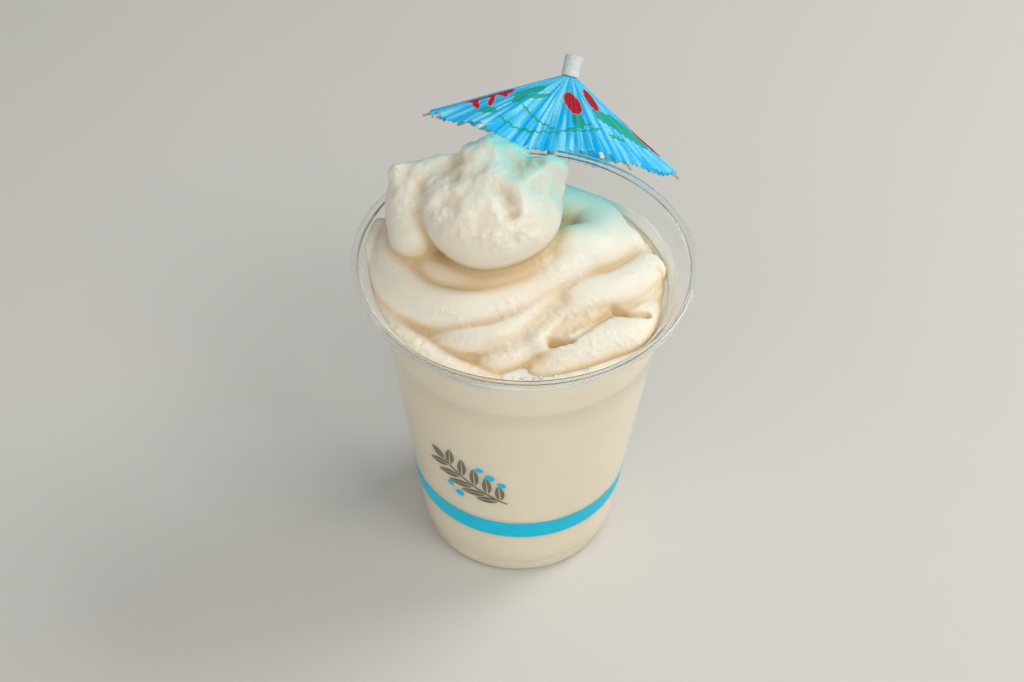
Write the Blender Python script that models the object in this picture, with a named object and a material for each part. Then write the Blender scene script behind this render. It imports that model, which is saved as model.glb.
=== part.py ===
"""A batido in a clear cup, crowned with a whipped swirl and a leaning paper umbrella.

Units are metres and +Z is up. The origin is on the cup's axis, on the plane that the cup stands on.
The cup's front, with the low side of the swirl, faces -Y.
"""

import math

import bmesh
import bpy
from mathutils import Matrix, Vector

MM = 0.001

# Cup
CUP_SIDES = 64
BASE_RADIUS = 27.8 * MM
WALL_SLOPE = 0.1326
WALL = 0.6 * MM
CORNER = 2.2 * MM
CORNER_TURNS = (30, 60, 90)
FOOT_STEP_Z = 5.0 * MM
FOOT_STEP = 0.35 * MM
FOOT_STEP_RISE = 0.6 * MM
SHOULDER_Z = 78.0 * MM
SHOULDER_STEP = 0.3 * MM
SHOULDER_RISE = 0.8 * MM
FLARE_Z = 84.0 * MM
FLARE_TOP_Z = 99.2 * MM
FLARE_OUT = 4.5 * MM
FLARE_CURVE = 3.2
FLARE_STEPS = 4
BEAD_Z = 100.3 * MM
BEAD_CENTRE = 46.45 * MM
BEAD = 1.05 * MM
BEAD_TURNS = (-115, -50, 0, 45, 90, 180)
BEAD_BLEND = 0.25 * MM
BEAD_BLEND_Z = 96.0 * MM
PAD_RADIUS = 17.0 * MM
FOOT_RING = 24.2 * MM
GROOVE_DEPTH = 3.4 * MM
GROOVE_SLANT = 1.2 * MM
INSIDE_CORNER = 0.7

# Contents
GAP = 0.3 * MM
DRINK_Z = 91.2 * MM
MENISCUS = 0.6 * MM
MENISCUS_CREST = 0.5 * MM
MENISCUS_WIDTH = 2.0 * MM
SWIRL_INSET = 2.4 * MM
ROOM_ABOVE = 40.0 * MM

# Umbrella, in its own frame: +Z along the stick to the cap, origin at the paper's peak
PEAK = Vector((11.5, 47.6, 128.1)) * MM
LEAN = Vector((0.230, 0.686, 0.781))
# Each rib's turn in degrees, and how far the paper sags between it and the next one
RIBS = (
    (4, 1.5 * MM), (50, 1.5 * MM), (95, 1.5 * MM), (140, 1.2 * MM),
    (181, 0.8 * MM), (204, 1.6 * MM), (236, 3.6 * MM), (291, 0.9 * MM),
)
PLEATS = 76
PAPER = 0.35 * MM
PAPER_RADIUS = 35.8 * MM
PAPER_DROP = 19.5 * MM
PAPER_HOLE = 2.0 * MM
PAPER_RINGS = (0.35, 0.7, 1.0)
PLEAT = 0.42 * MM
STRAIGHT_EDGE = 0.45
SAG_SKEW = 0.8
SAG_CURVE = 1.3
RIB_WIDTH = 1.3 * MM
RIB_DEPTH = 0.8 * MM
RIB_START = 3.2 * MM
RIB_END = 36.9 * MM
STRUT_AT = 17.5 * MM
STRUT_WIDTH = 1.1 * MM
STRUT_DEPTH = 0.6 * MM
STRUT_FOOT_GAP = 0.5 * MM
STRUT_FOOT_SHARE = 0.4
STICK_SIDES = 16
STICK_RADIUS = 1.0 * MM
STICK_BELOW = 92.0 * MM
STICK_POINT = 3.0 * MM
STICK_ABOVE = 3.6 * MM
CAP_FOOT_RADIUS = 2.3 * MM
CAP_RADIUS = 2.5 * MM
CAP_BOTTOM = -0.75 * MM
CAP_TOP = 4.8 * MM
HUB_RADIUS = 2.6 * MM
HUB_TOP = -2.35 * MM
HUB_LENGTH = 3.2 * MM
RUNNER_RADIUS = 2.4 * MM
RUNNER_TOP = -12.5 * MM
RUNNER_LENGTH = 5.5 * MM

# Swirl: rounded ropes of cream, each a smooth path of (x, y, z, radius) in millimetres
COILS = {
    "lower coil": [
        (-12, 27, 95, 10), (-27, 17, 97, 10), (-34, 2, 94, 9), (-30, -11, 95, 7.5), (-19, -17, 96, 7),
        (-7, -15.5, 96, 7), (3, -8.5, 96.5, 7), (12, 0, 97, 8), (20, 10, 95, 9), (18, 22, 92, 10),
        (4, 27, 94, 10),
    ],
    "lump foot": [(-27, 0, 97, 7), (-20, -6, 97, 7.5), (-9, -7, 97, 8), (4, -1, 98, 8)],
    "left skirt": [(-36, -5, 89, 5.5), (-31, -17, 89, 5.5), (-22, -26, 89, 5.5), (-14, -30, 88, 5)],
    "front ridge": [
        (-22, -23, 92, 4), (-14, -26, 95, 4), (-5, -24.5, 96.2, 4), (4, -15.5, 96.5, 4), (11, -7, 97, 4),
    ],
    "right ridge": [
        (-12, -30, 88, 4), (-6, -29, 91.5, 5), (2, -24, 93, 5.5), (9, -15, 93.5, 6), (17, -9, 94, 7),
        (26, -4, 93, 7), (33, 6, 90, 7),
    ],
    "front right lump": [
        (5, -31, 88, 5), (13, -26.5, 90.5, 6), (21, -22, 91, 6.5), (29, -17, 90, 6.5), (33, -8, 88, 6),
    ],
    "right slope": [(4, 2, 97, 9), (16, 6, 96, 10), (25, 14, 91, 9)],
    "left lump": [(-29, 5, 104, 8.5), (-30.5, 14, 110.5, 8), (-24, 19, 110, 8), (-13, 20, 110, 9.5)],
    "left smear": [(-41, -2, 92, 4), (-42, 7, 95, 4), (-40, 15, 96, 4)],
    "top coil": [
        (-17, 16, 109, 9.5), (-19, 5, 112, 9.5), (-11, -2, 112, 10), (-1, 3, 112, 9.5), (1, 13, 111, 9),
        (-4, 20, 111, 9),
    ],
    "crown": [(-12, 14, 116.5, 7), (-8, 9, 117, 7.5), (-2, 13, 118, 7)],
    "lobe": [(0, 12, 120, 4), (5, 14, 120, 3.6), (7, 13, 116, 4)],
    "crater rim": [
        (-24.8, 4.0, 116.4, 3.2), (-23.8, 0.8, 116.2, 3.4), (-20.8, -2.0, 115.6, 3.6), (-16.2, -5.8, 114.8, 3.8),
        (-11.5, -7.4, 115.0, 3.8), (-6.8, -6.8, 116.0, 3.7), (-2.8, -3.8, 117.6, 3.7), (-1.4, 0.2, 119.6, 3.5),
        (-2.2, 4.4, 121.0, 3.6),
    ],
    "curl": [
        (2.0, 11.5, 123.4, 3.4), (4.8, 12.8, 124.2, 3.0), (7.6, 13.4, 124.0, 2.7), (9.4, 13.6, 122.2, 2.4),
        (8.2, 13.2, 119.4, 2.8),
    ],
}
# Single lumps of the torn top, as (x, y, z, radius) in millimetres
KNOBS = [
    (-34.5, 16.5, 116.2, 3.9), (-25.7, 17.4, 118.4, 3.7), (-23.7, 18.5, 119.8, 2.6), (-12.8, 15.3, 121.3, 6.3),
    (-8.5, 10.3, 121.4, 5.2), (-5.0, 17.8, 121.2, 6.0), (-9.8, 17.5, 125.2, 4.6), (-5.6, 18.0, 124.4, 4.2),
    (-14.0, 17.0, 123.4, 4.4), (0.8, 10.8, 121.4, 4.8), (-17.6, 6.8, 120.6, 3.6), (-26.6, 8.2, 115.4, 3.2),
    (-22.0, 5.2, 118.2, 3.4), (-12.8, 2.2, 119.8, 4.0), (-14.4, -0.9, 118.0, 4.0), (-8.8, 1.2, 119.6, 3.6),
    (-8.2, -2.6, 118.2, 3.6),
]
MOUND = ((0, 3, 88), (40.5, 36, 13))
PATH_POINTS = 7
SWIRL_VOXEL = 1.1 * MM
SWIRL_SMOOTHING = 4
SWIRL_TRIANGLES = 4800


def wall_radius(z):
    """Outer radius of the cup's wall at a height, without the bead."""
    radius = BASE_RADIUS + WALL_SLOPE * z
    if z > SHOULDER_Z:
        radius += SHOULDER_STEP * min(1.0, (z - SHOULDER_Z) / SHOULDER_RISE)
    if z > FLARE_Z:
        radius += FLARE_OUT * ((z - FLARE_Z) / (FLARE_TOP_Z - FLARE_Z)) ** FLARE_CURVE
    return radius


def inside_radius(z):
    return wall_radius(z) - WALL * math.hypot(1.0, WALL_SLOPE)


def steps(start, end, count):
    return [start + (end - start) * k / count for k in range(count + 1)]


def material(name, colour, roughness, alpha=1.0, transmission=0.0):
    result = bpy.data.materials.new(name)
    result.use_nodes = True
    shader = result.node_tree.nodes["Principled BSDF"]
    shader.inputs["Base Color"].default_value = (*colour, 1.0)
    shader.inputs["Roughness"].default_value = roughness
    shader.inputs["Metallic"].default_value = 0.0
    shader.inputs["Alpha"].default_value = alpha
    shader.inputs["Transmission Weight"].default_value = transmission
    result.diffuse_color = (*colour, alpha)
    return result


def add_object(name, mesh, finish=None, smooth=True):
    obj = bpy.data.objects.new(name, mesh)
    bpy.context.scene.collection.objects.link(obj)
    if finish:
        mesh.materials.append(finish)
    if smooth:
        mesh.shade_smooth()
        mesh.set_sharp_from_angle(angle=math.radians(40))
    return obj


def add_cutter(name, mesh):
    obj = add_object(name, mesh, smooth=False)
    obj.hide_render = True
    obj.display_type = "WIRE"
    return obj


def boolean(obj, other, operation):
    step = obj.modifiers.new(operation.title(), "BOOLEAN")
    step.operation = operation
    step.object = other


def mesh_of(name, shape):
    """A mesh from a bmesh, its faces turned outward."""
    bmesh.ops.recalc_face_normals(shape, faces=shape.faces)
    mesh = bpy.data.meshes.new(name)
    shape.to_mesh(mesh)
    shape.free()
    return mesh


def turned(name, outline, sides):
    """A closed solid from (radius, height) points; an outline that leaves the axis out makes a ring."""
    shape = bmesh.new()
    rings = []
    for radius, height in outline:
        if radius == 0.0:
            rings.append([shape.verts.new((0.0, 0.0, height))])
            continue
        turns = [2 * math.pi * k / sides for k in range(sides)]
        rings.append([shape.verts.new((radius * math.cos(t), radius * math.sin(t), height)) for t in turns])
    pairs = list(zip(rings, rings[1:]))
    if len(rings[0]) > 1:
        pairs.append((rings[-1], rings[0]))
    for low, high in pairs:
        for k in range(sides):
            after = k + 1
            corners = [low[k % len(low)], low[after % len(low)], high[after % len(high)], high[k % len(high)]]
            shape.faces.new(list(dict.fromkeys(corners)))
    return mesh_of(name, shape)


def groove(lift, wider, narrower):
    """The pad, the groove and the foot ring of the cup's base, from the axis outward."""
    low, high = lift, GROOVE_DEPTH + lift
    return [
        (PAD_RADIUS - wider, low), (PAD_RADIUS + GROOVE_SLANT - narrower, high),
        (FOOT_RING - GROOVE_SLANT + narrower, high), (FOOT_RING + wider, low),
    ]


def build_cup():
    foot = wall_radius(CORNER) - FOOT_STEP
    outside = [(0.0, 0.0)] + groove(0.0, 0.0, 0.0) + [(foot - CORNER, 0.0)]
    for turn in CORNER_TURNS:
        angle = math.radians(turn)
        outside.append((foot - CORNER * (1 - math.sin(angle)), CORNER * (1 - math.cos(angle))))
    outside.append((wall_radius(FOOT_STEP_Z) - FOOT_STEP, FOOT_STEP_Z))
    flare = steps(FLARE_Z, FLARE_TOP_Z, FLARE_STEPS)
    for z in [FOOT_STEP_Z + FOOT_STEP_RISE, SHOULDER_Z, SHOULDER_Z + SHOULDER_RISE] + flare:
        outside.append((wall_radius(z), z))
    bead = []
    for turn in BEAD_TURNS:
        angle = math.radians(turn)
        bead.append((BEAD_CENTRE + BEAD * math.cos(angle), BEAD_Z + BEAD * math.sin(angle)))
    inside = [(inside_radius(z), z + (BEAD_BLEND if z > BEAD_BLEND_Z else 0.0)) for z in reversed(flare)]
    inside += [(inside_radius(z), z) for z in (SHOULDER_Z + SHOULDER_RISE, SHOULDER_Z, CORNER)]
    inside.append((inside_radius(CORNER) - INSIDE_CORNER * CORNER, WALL))
    inside += groove(WALL, 0.3 * MM, 0.4 * MM)[::-1] + [(0.0, WALL)]
    mesh = turned("cup", outside + bead + inside, CUP_SIDES)
    return add_object("cup", mesh, material("clear plastic", (0.9, 0.92, 0.92), 0.06, 0.25, 0.9))


def build_drink():
    floor = WALL + GAP
    points = [(0.0, floor)] + groove(floor, 0.5 * MM, 0.6 * MM)
    points.append((inside_radius(CORNER) - INSIDE_CORNER * CORNER - GAP, floor))
    for z in (CORNER + GAP, SHOULDER_Z, SHOULDER_Z + SHOULDER_RISE, FLARE_Z + MENISCUS_WIDTH, DRINK_Z):
        points.append((inside_radius(z) - GAP, z))
    rim = inside_radius(DRINK_Z + MENISCUS) - GAP
    points += [(rim - MENISCUS_CREST, DRINK_Z + MENISCUS), (rim - MENISCUS_WIDTH, DRINK_Z), (0.0, DRINK_Z)]
    finish = material("milk drink", (0.87, 0.79, 0.66), 0.3)
    return add_object("drink", turned("drink", points, CUP_SIDES), finish)


def smooth_path(points, count):
    """Points along a Catmull-Rom curve through the given ones."""
    ends = [points[0]] + list(points) + [points[-1]]
    result = []
    for a, b, c, d in zip(ends, ends[1:], ends[2:], ends[3:]):
        for k in range(count):
            t = k / count
            blend = (
                -0.5 * t + t * t - 0.5 * t ** 3,
                1 - 2.5 * t * t + 1.5 * t ** 3,
                0.5 * t + 2 * t * t - 1.5 * t ** 3,
                -0.5 * t * t + 0.5 * t ** 3,
            )
            result.append([sum(w * p[i] for w, p in zip(blend, (a, b, c, d))) for i in range(4)])
    return result + [list(points[-1])]


def add_ball(shape, centre, size):
    place = Matrix.Translation(Vector(centre) * MM) @ Matrix.Diagonal((*(Vector(size) * MM), 1.0))
    bmesh.ops.create_icosphere(shape, subdivisions=3, radius=1.0, matrix=place)


def cream_mesh():
    """Every rope and lump of the swirl as overlapping balls, for the remesh to fuse."""
    shape = bmesh.new()
    add_ball(shape, *MOUND)
    for path in COILS.values():
        for x, y, z, radius in smooth_path(path, PATH_POINTS):
            add_ball(shape, (x, y, z), (radius, radius, radius))
    for x, y, z, radius in KNOBS:
        add_ball(shape, (x, y, z), (radius, radius, radius))
    return mesh_of("swirl", shape)


def room_above_drink():
    """The space inside the cup above the drink, open upward, that the swirl is trimmed to."""
    low = DRINK_Z + GAP
    room = [(0.0, low), (inside_radius(low) - SWIRL_INSET, low)]
    for z in (low + MENISCUS + MENISCUS_CREST, 95 * MM, 97 * MM, FLARE_TOP_Z):
        room.append((inside_radius(z) - GAP - 0.1 * MM, z))
    rim = BEAD_CENTRE - BEAD - GAP
    room += [(rim, BEAD_Z), (rim, BEAD_Z + ROOM_ABOVE), (0.0, BEAD_Z + ROOM_ABOVE)]
    return add_cutter("room above the drink", turned("room above the drink", room, CUP_SIDES))


def build_swirl(pick_cutter):
    swirl = add_object("swirl", cream_mesh(), material("whipped cream", (0.9, 0.84, 0.72), 0.45))
    fuse = swirl.modifiers.new("Fuse", "REMESH")
    fuse.mode = "VOXEL"
    fuse.voxel_size = SWIRL_VOXEL
    fuse.use_smooth_shade = True
    soften = swirl.modifiers.new("Soften", "SMOOTH")
    soften.factor = 0.5
    soften.iterations = SWIRL_SMOOTHING
    thin = swirl.modifiers.new("Thin", "DECIMATE")
    thin.use_collapse_triangulate = True
    thin.ratio = ratio_for(swirl, thin, SWIRL_TRIANGLES)
    boolean(swirl, room_above_drink(), "INTERSECT")
    boolean(swirl, pick_cutter, "DIFFERENCE")
    return swirl


def ratio_for(obj, decimate, wanted):
    """The share of its faces that a Decimate modifier keeps to leave about the wanted number of triangles."""
    decimate.show_viewport = False
    seen = obj.evaluated_get(bpy.context.evaluated_depsgraph_get())
    faces = sum(len(face.vertices) - 2 for face in seen.data.polygons)
    decimate.show_viewport = True
    return wanted / faces


def umbrella_frame():
    axis = LEAN.normalized()
    across = axis.cross(Vector((1.0, 0.0, 0.0))).normalized()
    side = across.cross(axis)
    return Matrix.Translation(PEAK) @ Matrix((side, across, axis)).transposed().to_4x4()


def paper_edge(turn):
    """The paper's reach, straighter and lower between two ribs, as a radius and a sag."""
    for k, (degrees, sag) in enumerate(RIBS):
        low = math.radians(degrees)
        high = math.radians(RIBS[(k + 1) % len(RIBS)][0] + (360 if k == len(RIBS) - 1 else 0))
        inside = turn if turn >= low else turn + 2 * math.pi
        if low <= inside < high:
            half = (high - low) / 2
            share = (inside - low) / (high - low)
            straight = math.cos(half) / math.cos((2 * share - 1) * half)
            radius = PAPER_RADIUS * (1 - STRAIGHT_EDGE + STRAIGHT_EDGE * straight)
            return radius, sag * math.sin(math.pi * share ** SAG_SKEW) ** SAG_CURVE


def paper_mesh():
    """A pleated cone of paper, its folds running from the peak to the edge."""
    folds = PLEATS * 2
    shape = bmesh.new()
    sheets = []
    for drop in (0.0, -PAPER):
        rings = []
        for share in (PAPER_HOLE / PAPER_RADIUS,) + PAPER_RINGS:
            ring = []
            for k in range(folds):
                turn = 2 * math.pi * k / folds
                edge, sag = paper_edge(turn)
                radius = edge * share
                height = -PAPER_DROP * share - sag * share ** 2 + drop
                height += PLEAT * share if k % 2 else -PLEAT * share
                ring.append(shape.verts.new((radius * math.cos(turn), radius * math.sin(turn), height)))
            rings.append(ring)
        sheets.append(rings)
    top, under = sheets
    loops = top + under[::-1]
    for here, there in zip(loops, loops[1:] + loops[:1]):
        for k in range(folds):
            shape.faces.new((here[k], here[(k + 1) % folds], there[(k + 1) % folds], there[k]))
    bmesh.ops.triangulate(shape, faces=shape.faces)
    return mesh_of("canopy", shape)


def bar(name, start, end, width, depth):
    """A flat wooden strip from start to end, its broad side turned up; width lies across."""
    along = (end - start).normalized()
    across = Vector((0.0, 0.0, 1.0)).cross(along).normalized()
    up = along.cross(across)
    shape = bmesh.new()
    corners = []
    for point in (start, end):
        for i, j in ((-1, -1), (1, -1), (1, 1), (-1, 1)):
            corners.append(shape.verts.new(point + across * i * width / 2 + up * j * depth / 2))
    shape.faces.new(corners[3::-1])
    shape.faces.new(corners[4:])
    for k in range(4):
        shape.faces.new((corners[k], corners[(k + 1) % 4], corners[4 + (k + 1) % 4], corners[4 + k]))
    return mesh_of(name, shape)


def ring(name, radius, bottom, top):
    """A ring round the stick, a gap clear of it."""
    hole = STICK_RADIUS + GAP
    return turned(name, [(hole, bottom), (radius, bottom), (radius, top), (hole, top)], STICK_SIDES)


def ribs_and_struts(wood):
    """Each rib under the paper, with the strut that holds it up from the runner."""
    slope = PAPER_DROP / PAPER_RADIUS
    under = PAPER + PLEAT + GAP + RIB_DEPTH / 2
    strut_under = under + RIB_DEPTH / 2 + GAP + STRUT_DEPTH
    pieces = []
    for k, (degrees, _) in enumerate(RIBS, start=1):
        turn = math.radians(degrees)
        out = Vector((math.cos(turn), math.sin(turn), 0.0))
        up = Vector((0.0, 0.0, 1.0))
        start = out * RIB_START - up * (RIB_START * slope + under)
        end = out * RIB_END - up * (RIB_END * slope + under)
        rib = bar(f"rib_{k}", start, end, RIB_WIDTH, RIB_DEPTH)
        pieces.append(add_object(f"rib_{k}", rib, wood, smooth=False))
        foot = out * (RUNNER_RADIUS + STRUT_FOOT_GAP) + up * (RUNNER_TOP - RUNNER_LENGTH * STRUT_FOOT_SHARE)
        head = out * STRUT_AT - up * (STRUT_AT * slope + strut_under)
        strut = bar(f"strut_{k}", foot, head, STRUT_WIDTH, STRUT_DEPTH)
        pieces.append(add_object(f"strut_{k}", strut, wood, smooth=False))
    return pieces


def build_umbrella(frame):
    wood = material("umbrella wood", (0.74, 0.6, 0.42), 0.6)
    white = material("rolled paper", (0.86, 0.84, 0.78), 0.7)
    blue = material("blue paper", (0.0, 0.4, 0.75), 0.6)
    pieces = [add_object("canopy", paper_mesh(), blue, smooth=False)]
    stick = [(0.0, -STICK_BELOW), (STICK_RADIUS, STICK_POINT - STICK_BELOW), (STICK_RADIUS, STICK_ABOVE)]
    pieces.append(add_object("stick", turned("stick", stick + [(0.0, STICK_ABOVE)], STICK_SIDES), wood))
    hole = STICK_RADIUS + GAP
    cap = [(0.0, STICK_ABOVE + GAP), (hole, STICK_ABOVE + GAP), (hole, CAP_BOTTOM)]
    cap += [(CAP_FOOT_RADIUS, CAP_BOTTOM), (CAP_RADIUS, CAP_TOP), (0.0, CAP_TOP)]
    pieces.append(add_object("cap", turned("cap", cap, STICK_SIDES), white))
    pieces.append(add_object("hub", ring("hub", HUB_RADIUS, HUB_TOP - HUB_LENGTH, HUB_TOP), wood))
    runner = ring("runner", RUNNER_RADIUS, RUNNER_TOP - RUNNER_LENGTH, RUNNER_TOP)
    pieces.append(add_object("runner", runner, white))
    for piece in pieces + ribs_and_struts(wood):
        piece.matrix_world = frame


def main():
    for obj in list(bpy.data.objects):
        bpy.data.objects.remove(obj)
    frame = umbrella_frame()
    wide, deep = STICK_RADIUS + GAP, -STICK_BELOW - GAP
    room = turned("room for the stick", [(0.0, deep), (wide, deep), (wide, 0.0), (0.0, 0.0)], STICK_SIDES)
    pick_cutter = add_cutter("room for the stick", room)
    pick_cutter.matrix_world = frame
    build_cup()
    boolean(build_drink(), pick_cutter, "DIFFERENCE")
    build_swirl(pick_cutter)
    build_umbrella(frame)


main()
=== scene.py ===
"""The looks of a batido in a clear cup: plastic, print, milkshake, whipped swirl and paper umbrella.

Lengths in the tables are millimetres and become metres through MM. +Z is up and the front faces -Y.
"""

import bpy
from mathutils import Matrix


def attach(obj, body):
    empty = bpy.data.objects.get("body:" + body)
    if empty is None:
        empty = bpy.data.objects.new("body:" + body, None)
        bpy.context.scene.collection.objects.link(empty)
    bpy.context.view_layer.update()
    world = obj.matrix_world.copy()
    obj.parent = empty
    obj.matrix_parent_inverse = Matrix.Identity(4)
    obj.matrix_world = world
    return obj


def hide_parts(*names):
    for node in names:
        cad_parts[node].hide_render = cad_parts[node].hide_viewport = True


bl_info = {
    "name": "Batido in a Clear Cup",
    "version": (1, 0, 0),
    "blender": (4, 5, 0),
    "location": "View3D > Sidebar > Batido",
    "description": "Builds a milkshake with a whipped swirl and a paper cocktail umbrella",
    "category": "Object",
}

import math
import random

import bmesh
import bpy
import numpy as np
from bpy.props import FloatProperty, FloatVectorProperty, IntProperty, PointerProperty
from mathutils import Matrix, Vector, noise

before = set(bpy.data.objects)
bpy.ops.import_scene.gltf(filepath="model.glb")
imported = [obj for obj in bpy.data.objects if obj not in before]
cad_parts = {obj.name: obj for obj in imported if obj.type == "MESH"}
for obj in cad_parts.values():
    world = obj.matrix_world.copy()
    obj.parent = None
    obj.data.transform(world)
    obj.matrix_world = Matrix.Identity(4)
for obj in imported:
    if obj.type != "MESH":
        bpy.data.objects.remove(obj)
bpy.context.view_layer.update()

MM = 0.001

# Cup, as in the frame
BASE_RADIUS = 27.8 * MM
WALL_SLOPE = 0.1326
WALL = 0.6 * MM
CORNER = 2.2 * MM
FOOT_STEP_Z = 5.0 * MM
FOOT_STEP = 0.35 * MM
SHOULDER_Z = 78.0 * MM
SHOULDER_STEP = 0.3 * MM
SHOULDER_RISE = 0.8 * MM
FLARE_Z = 84.0 * MM
FLARE_TOP_Z = 99.2 * MM
FLARE_OUT = 4.5 * MM
FLARE_CURVE = 3.2
BEAD_Z = 100.3 * MM
BEAD_CENTRE = 46.45 * MM
BEAD = 1.05 * MM
CURL_INSIDE = 0.66 * MM
PAD_RADIUS = 17.0 * MM
GROOVE_DEPTH = 3.4 * MM
# How far the groove's sides lean in: outside, and on the cup's floor at their foot and top
GROOVE_SIDE = 1.2 * MM
FLOOR_SIDE_FOOT = 0.3 * MM
FLOOR_SIDE_TOP = 0.8 * MM
FOOT_RING = 24.2 * MM
CUP_SIDES = 192
# How far the drink reaches into the plastic, so that no gap shows between them
INTO_WALL = 0.3 * MM
# The printed layers lie this far off the wall, from their underside to their top
INK_UNDERSIDE = 0.02 * MM
INK_TOP = 0.07 * MM

# Leaf sprig on the cup, measured in millimetres across and up from its middle. Its stem starts at its
# upper end, and falls by STEM_FALL's two shares, straight and curved, on its way across.
STEM_START = (-10.5, 7.0)
STEM_ACROSS = 19.0
STEM_FALL = (-17.0, 4.0)
STEM_HALF = 0.2 * MM
STEM_POINTS = 20
# Points of the stem that carry a pair of leaves, and a leaf's width and gap to the stem
LEAF_PAIRS = (2, 6, 10, 14, 18)
LEAF_WIDTH = 2.7 * MM
LEAF_GAP = 0.7 * MM
# Length and width of the leaf at the stem's tip
TIP_LEAF = (5.0 * MM, 3.0 * MM)
# Degrees: the way the stem points, and how far a leaf turns from it
STEM_TURN = 140
LEAF_SPREAD = 54
# Berries, as across, up and radius
BERRIES = ((3.6, 5.6, 1.4), (6.9, 2.9, 1.2), (0.7, 8.4, 1.1), (-6.2, -6.6, 1.4), (-9.2, -3.9, 1.1))

# Umbrella, as in the frame: +Z along the stick to the cap, origin at the paper's peak
PEAK = Vector((11.5, 47.6, 128.1)) * MM
LEAN = Vector((0.230, 0.686, 0.781))
# Each rib's turn in degrees, and how far the paper sags between it and the next one
RIBS = (
    (4, 1.5 * MM), (50, 1.5 * MM), (95, 1.5 * MM), (140, 1.2 * MM),
    (181, 0.8 * MM), (204, 1.6 * MM), (236, 3.6 * MM), (291, 0.9 * MM),
)
PAPER_RADIUS = 35.8 * MM
PAPER_DROP = 19.8 * MM
PAPER_HOLE = 2.0 * MM
PLEAT = 0.42 * MM
STRAIGHT_EDGE = 0.45
FACETS = 3
SAG_SKEW = 0.8
SAG_CURVE = 1.3
RIB_START = 3.2 * MM
RIB_END = 36.9 * MM
RIB_UNDER_PAPER = 1.25 * MM
# A rib's section with its corners cut, as shares of its half width and half depth
RIB_SECTION = ((-1, -0.6), (-0.7, -1), (0.7, -1), (1, -0.6), (1, 0.6), (0.7, 1), (-0.7, 1), (-1, 0.6))
PAPER_THICKNESS = 0.14 * MM
STICK_RADIUS = 1.0 * MM
STICK_TOP = 3.9 * MM
CAP_BOTTOM = -1.0 * MM
CAP_TOP = 4.8 * MM
CAP_FOOT_RADIUS = 2.3 * MM
CAP_RADIUS = 2.5 * MM

# Swirl: rounded ropes of cream, each a smooth path of (x, y, z, radius) in millimetres
COILS = {
    "lower coil": [
        (-12, 27, 95, 10), (-27, 17, 97, 10), (-34, 2, 94, 9), (-30, -11, 95, 7.5), (-19, -17, 96, 7),
        (-7, -15.5, 96, 7), (3, -8.5, 96.5, 7), (12, 0, 97, 8), (20, 10, 95, 9), (18, 22, 92, 10),
        (4, 27, 94, 10),
    ],
    "lump foot": [(-27, 0, 97, 7), (-20, -6, 97, 7.5), (-9, -7, 97, 8), (4, -1, 98, 8)],
    "left skirt": [(-36, -5, 89, 5.5), (-31, -17, 89, 5.5), (-22, -26, 89, 5.5), (-14, -30, 88, 5)],
    "front ridge": [
        (-22, -23, 92, 4), (-14, -26, 95, 4), (-5, -24.5, 96.2, 4), (4, -15.5, 96.5, 4), (11, -7, 97, 4),
    ],
    "right ridge": [
        (-12, -30, 88, 4), (-6, -29, 91.5, 5), (2, -24, 93, 5.5), (9, -15, 93.5, 6), (17, -9, 94, 7),
        (26, -4, 93, 7), (33, 6, 90, 7),
    ],
    "front right lump": [
        (5, -31, 88, 5), (13, -26.5, 90.5, 6), (21, -22, 91, 6.5), (29, -17, 90, 6.5), (33, -8, 88, 6),
    ],
    "right slope": [(4, 2, 97, 9), (16, 6, 96, 10), (25, 14, 91, 9)],
    "left lump": [(-29, 5, 104, 8.5), (-30.5, 14, 110.5, 8), (-24, 19, 110, 8), (-13, 20, 110, 9.5)],
    "left smear": [(-41, -2, 92, 4), (-42, 7, 95, 4), (-40, 15, 96, 4)],
    "top coil": [
        (-17, 16, 109, 9.5), (-19, 5, 112, 9.5), (-11, -2, 112, 10), (-1, 3, 112, 9.5), (1, 13, 111, 9),
        (-4, 20, 111, 9),
    ],
    "crown": [(-12, 14, 116.5, 7), (-8, 9, 117, 7.5), (-2, 13, 118, 7)],
    "lobe": [(0, 12, 120, 4), (5, 14, 120, 3.6), (7, 13, 116, 4)],
    "crater rim": [
        (-24.8, 4.0, 116.4, 3.2), (-23.8, 0.8, 116.2, 3.4), (-20.8, -2.0, 115.6, 3.6),
        (-16.2, -5.8, 114.8, 3.8), (-11.5, -7.4, 115.0, 3.8), (-6.8, -6.8, 116.0, 3.7),
        (-2.8, -3.8, 117.6, 3.7), (-1.4, 0.2, 119.6, 3.5), (-2.2, 4.4, 121.0, 3.6),
    ],
    "curl": [
        (2.0, 11.5, 123.4, 3.4), (4.8, 12.8, 124.2, 3.0), (7.6, 13.4, 124.0, 2.7), (9.4, 13.6, 122.2, 2.4),
        (8.2, 13.2, 119.4, 2.8),
    ],
}
# Single lumps of the torn top, as (x, y, z, radius) in millimetres
KNOBS = [
    (-34.5, 16.5, 116.2, 3.9), (-25.7, 17.4, 118.4, 3.7), (-23.7, 18.5, 119.8, 2.6),
    (-12.8, 15.3, 121.3, 6.3), (-8.5, 10.3, 121.4, 5.2), (-5.0, 17.8, 121.2, 6.0),
    (-9.8, 17.5, 125.2, 4.6), (-5.6, 18.0, 124.4, 4.2), (-14.0, 17.0, 123.4, 4.4),
    (0.8, 10.8, 121.4, 4.8), (-17.6, 6.8, 120.6, 3.6), (-26.6, 8.2, 115.4, 3.2),
    (-22.0, 5.2, 118.2, 3.4), (-12.8, 2.2, 119.8, 4.0), (-14.4, -0.9, 118.0, 4.0),
    (-8.8, 1.2, 119.6, 3.6), (-8.2, -2.6, 118.2, 3.6),
]
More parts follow.
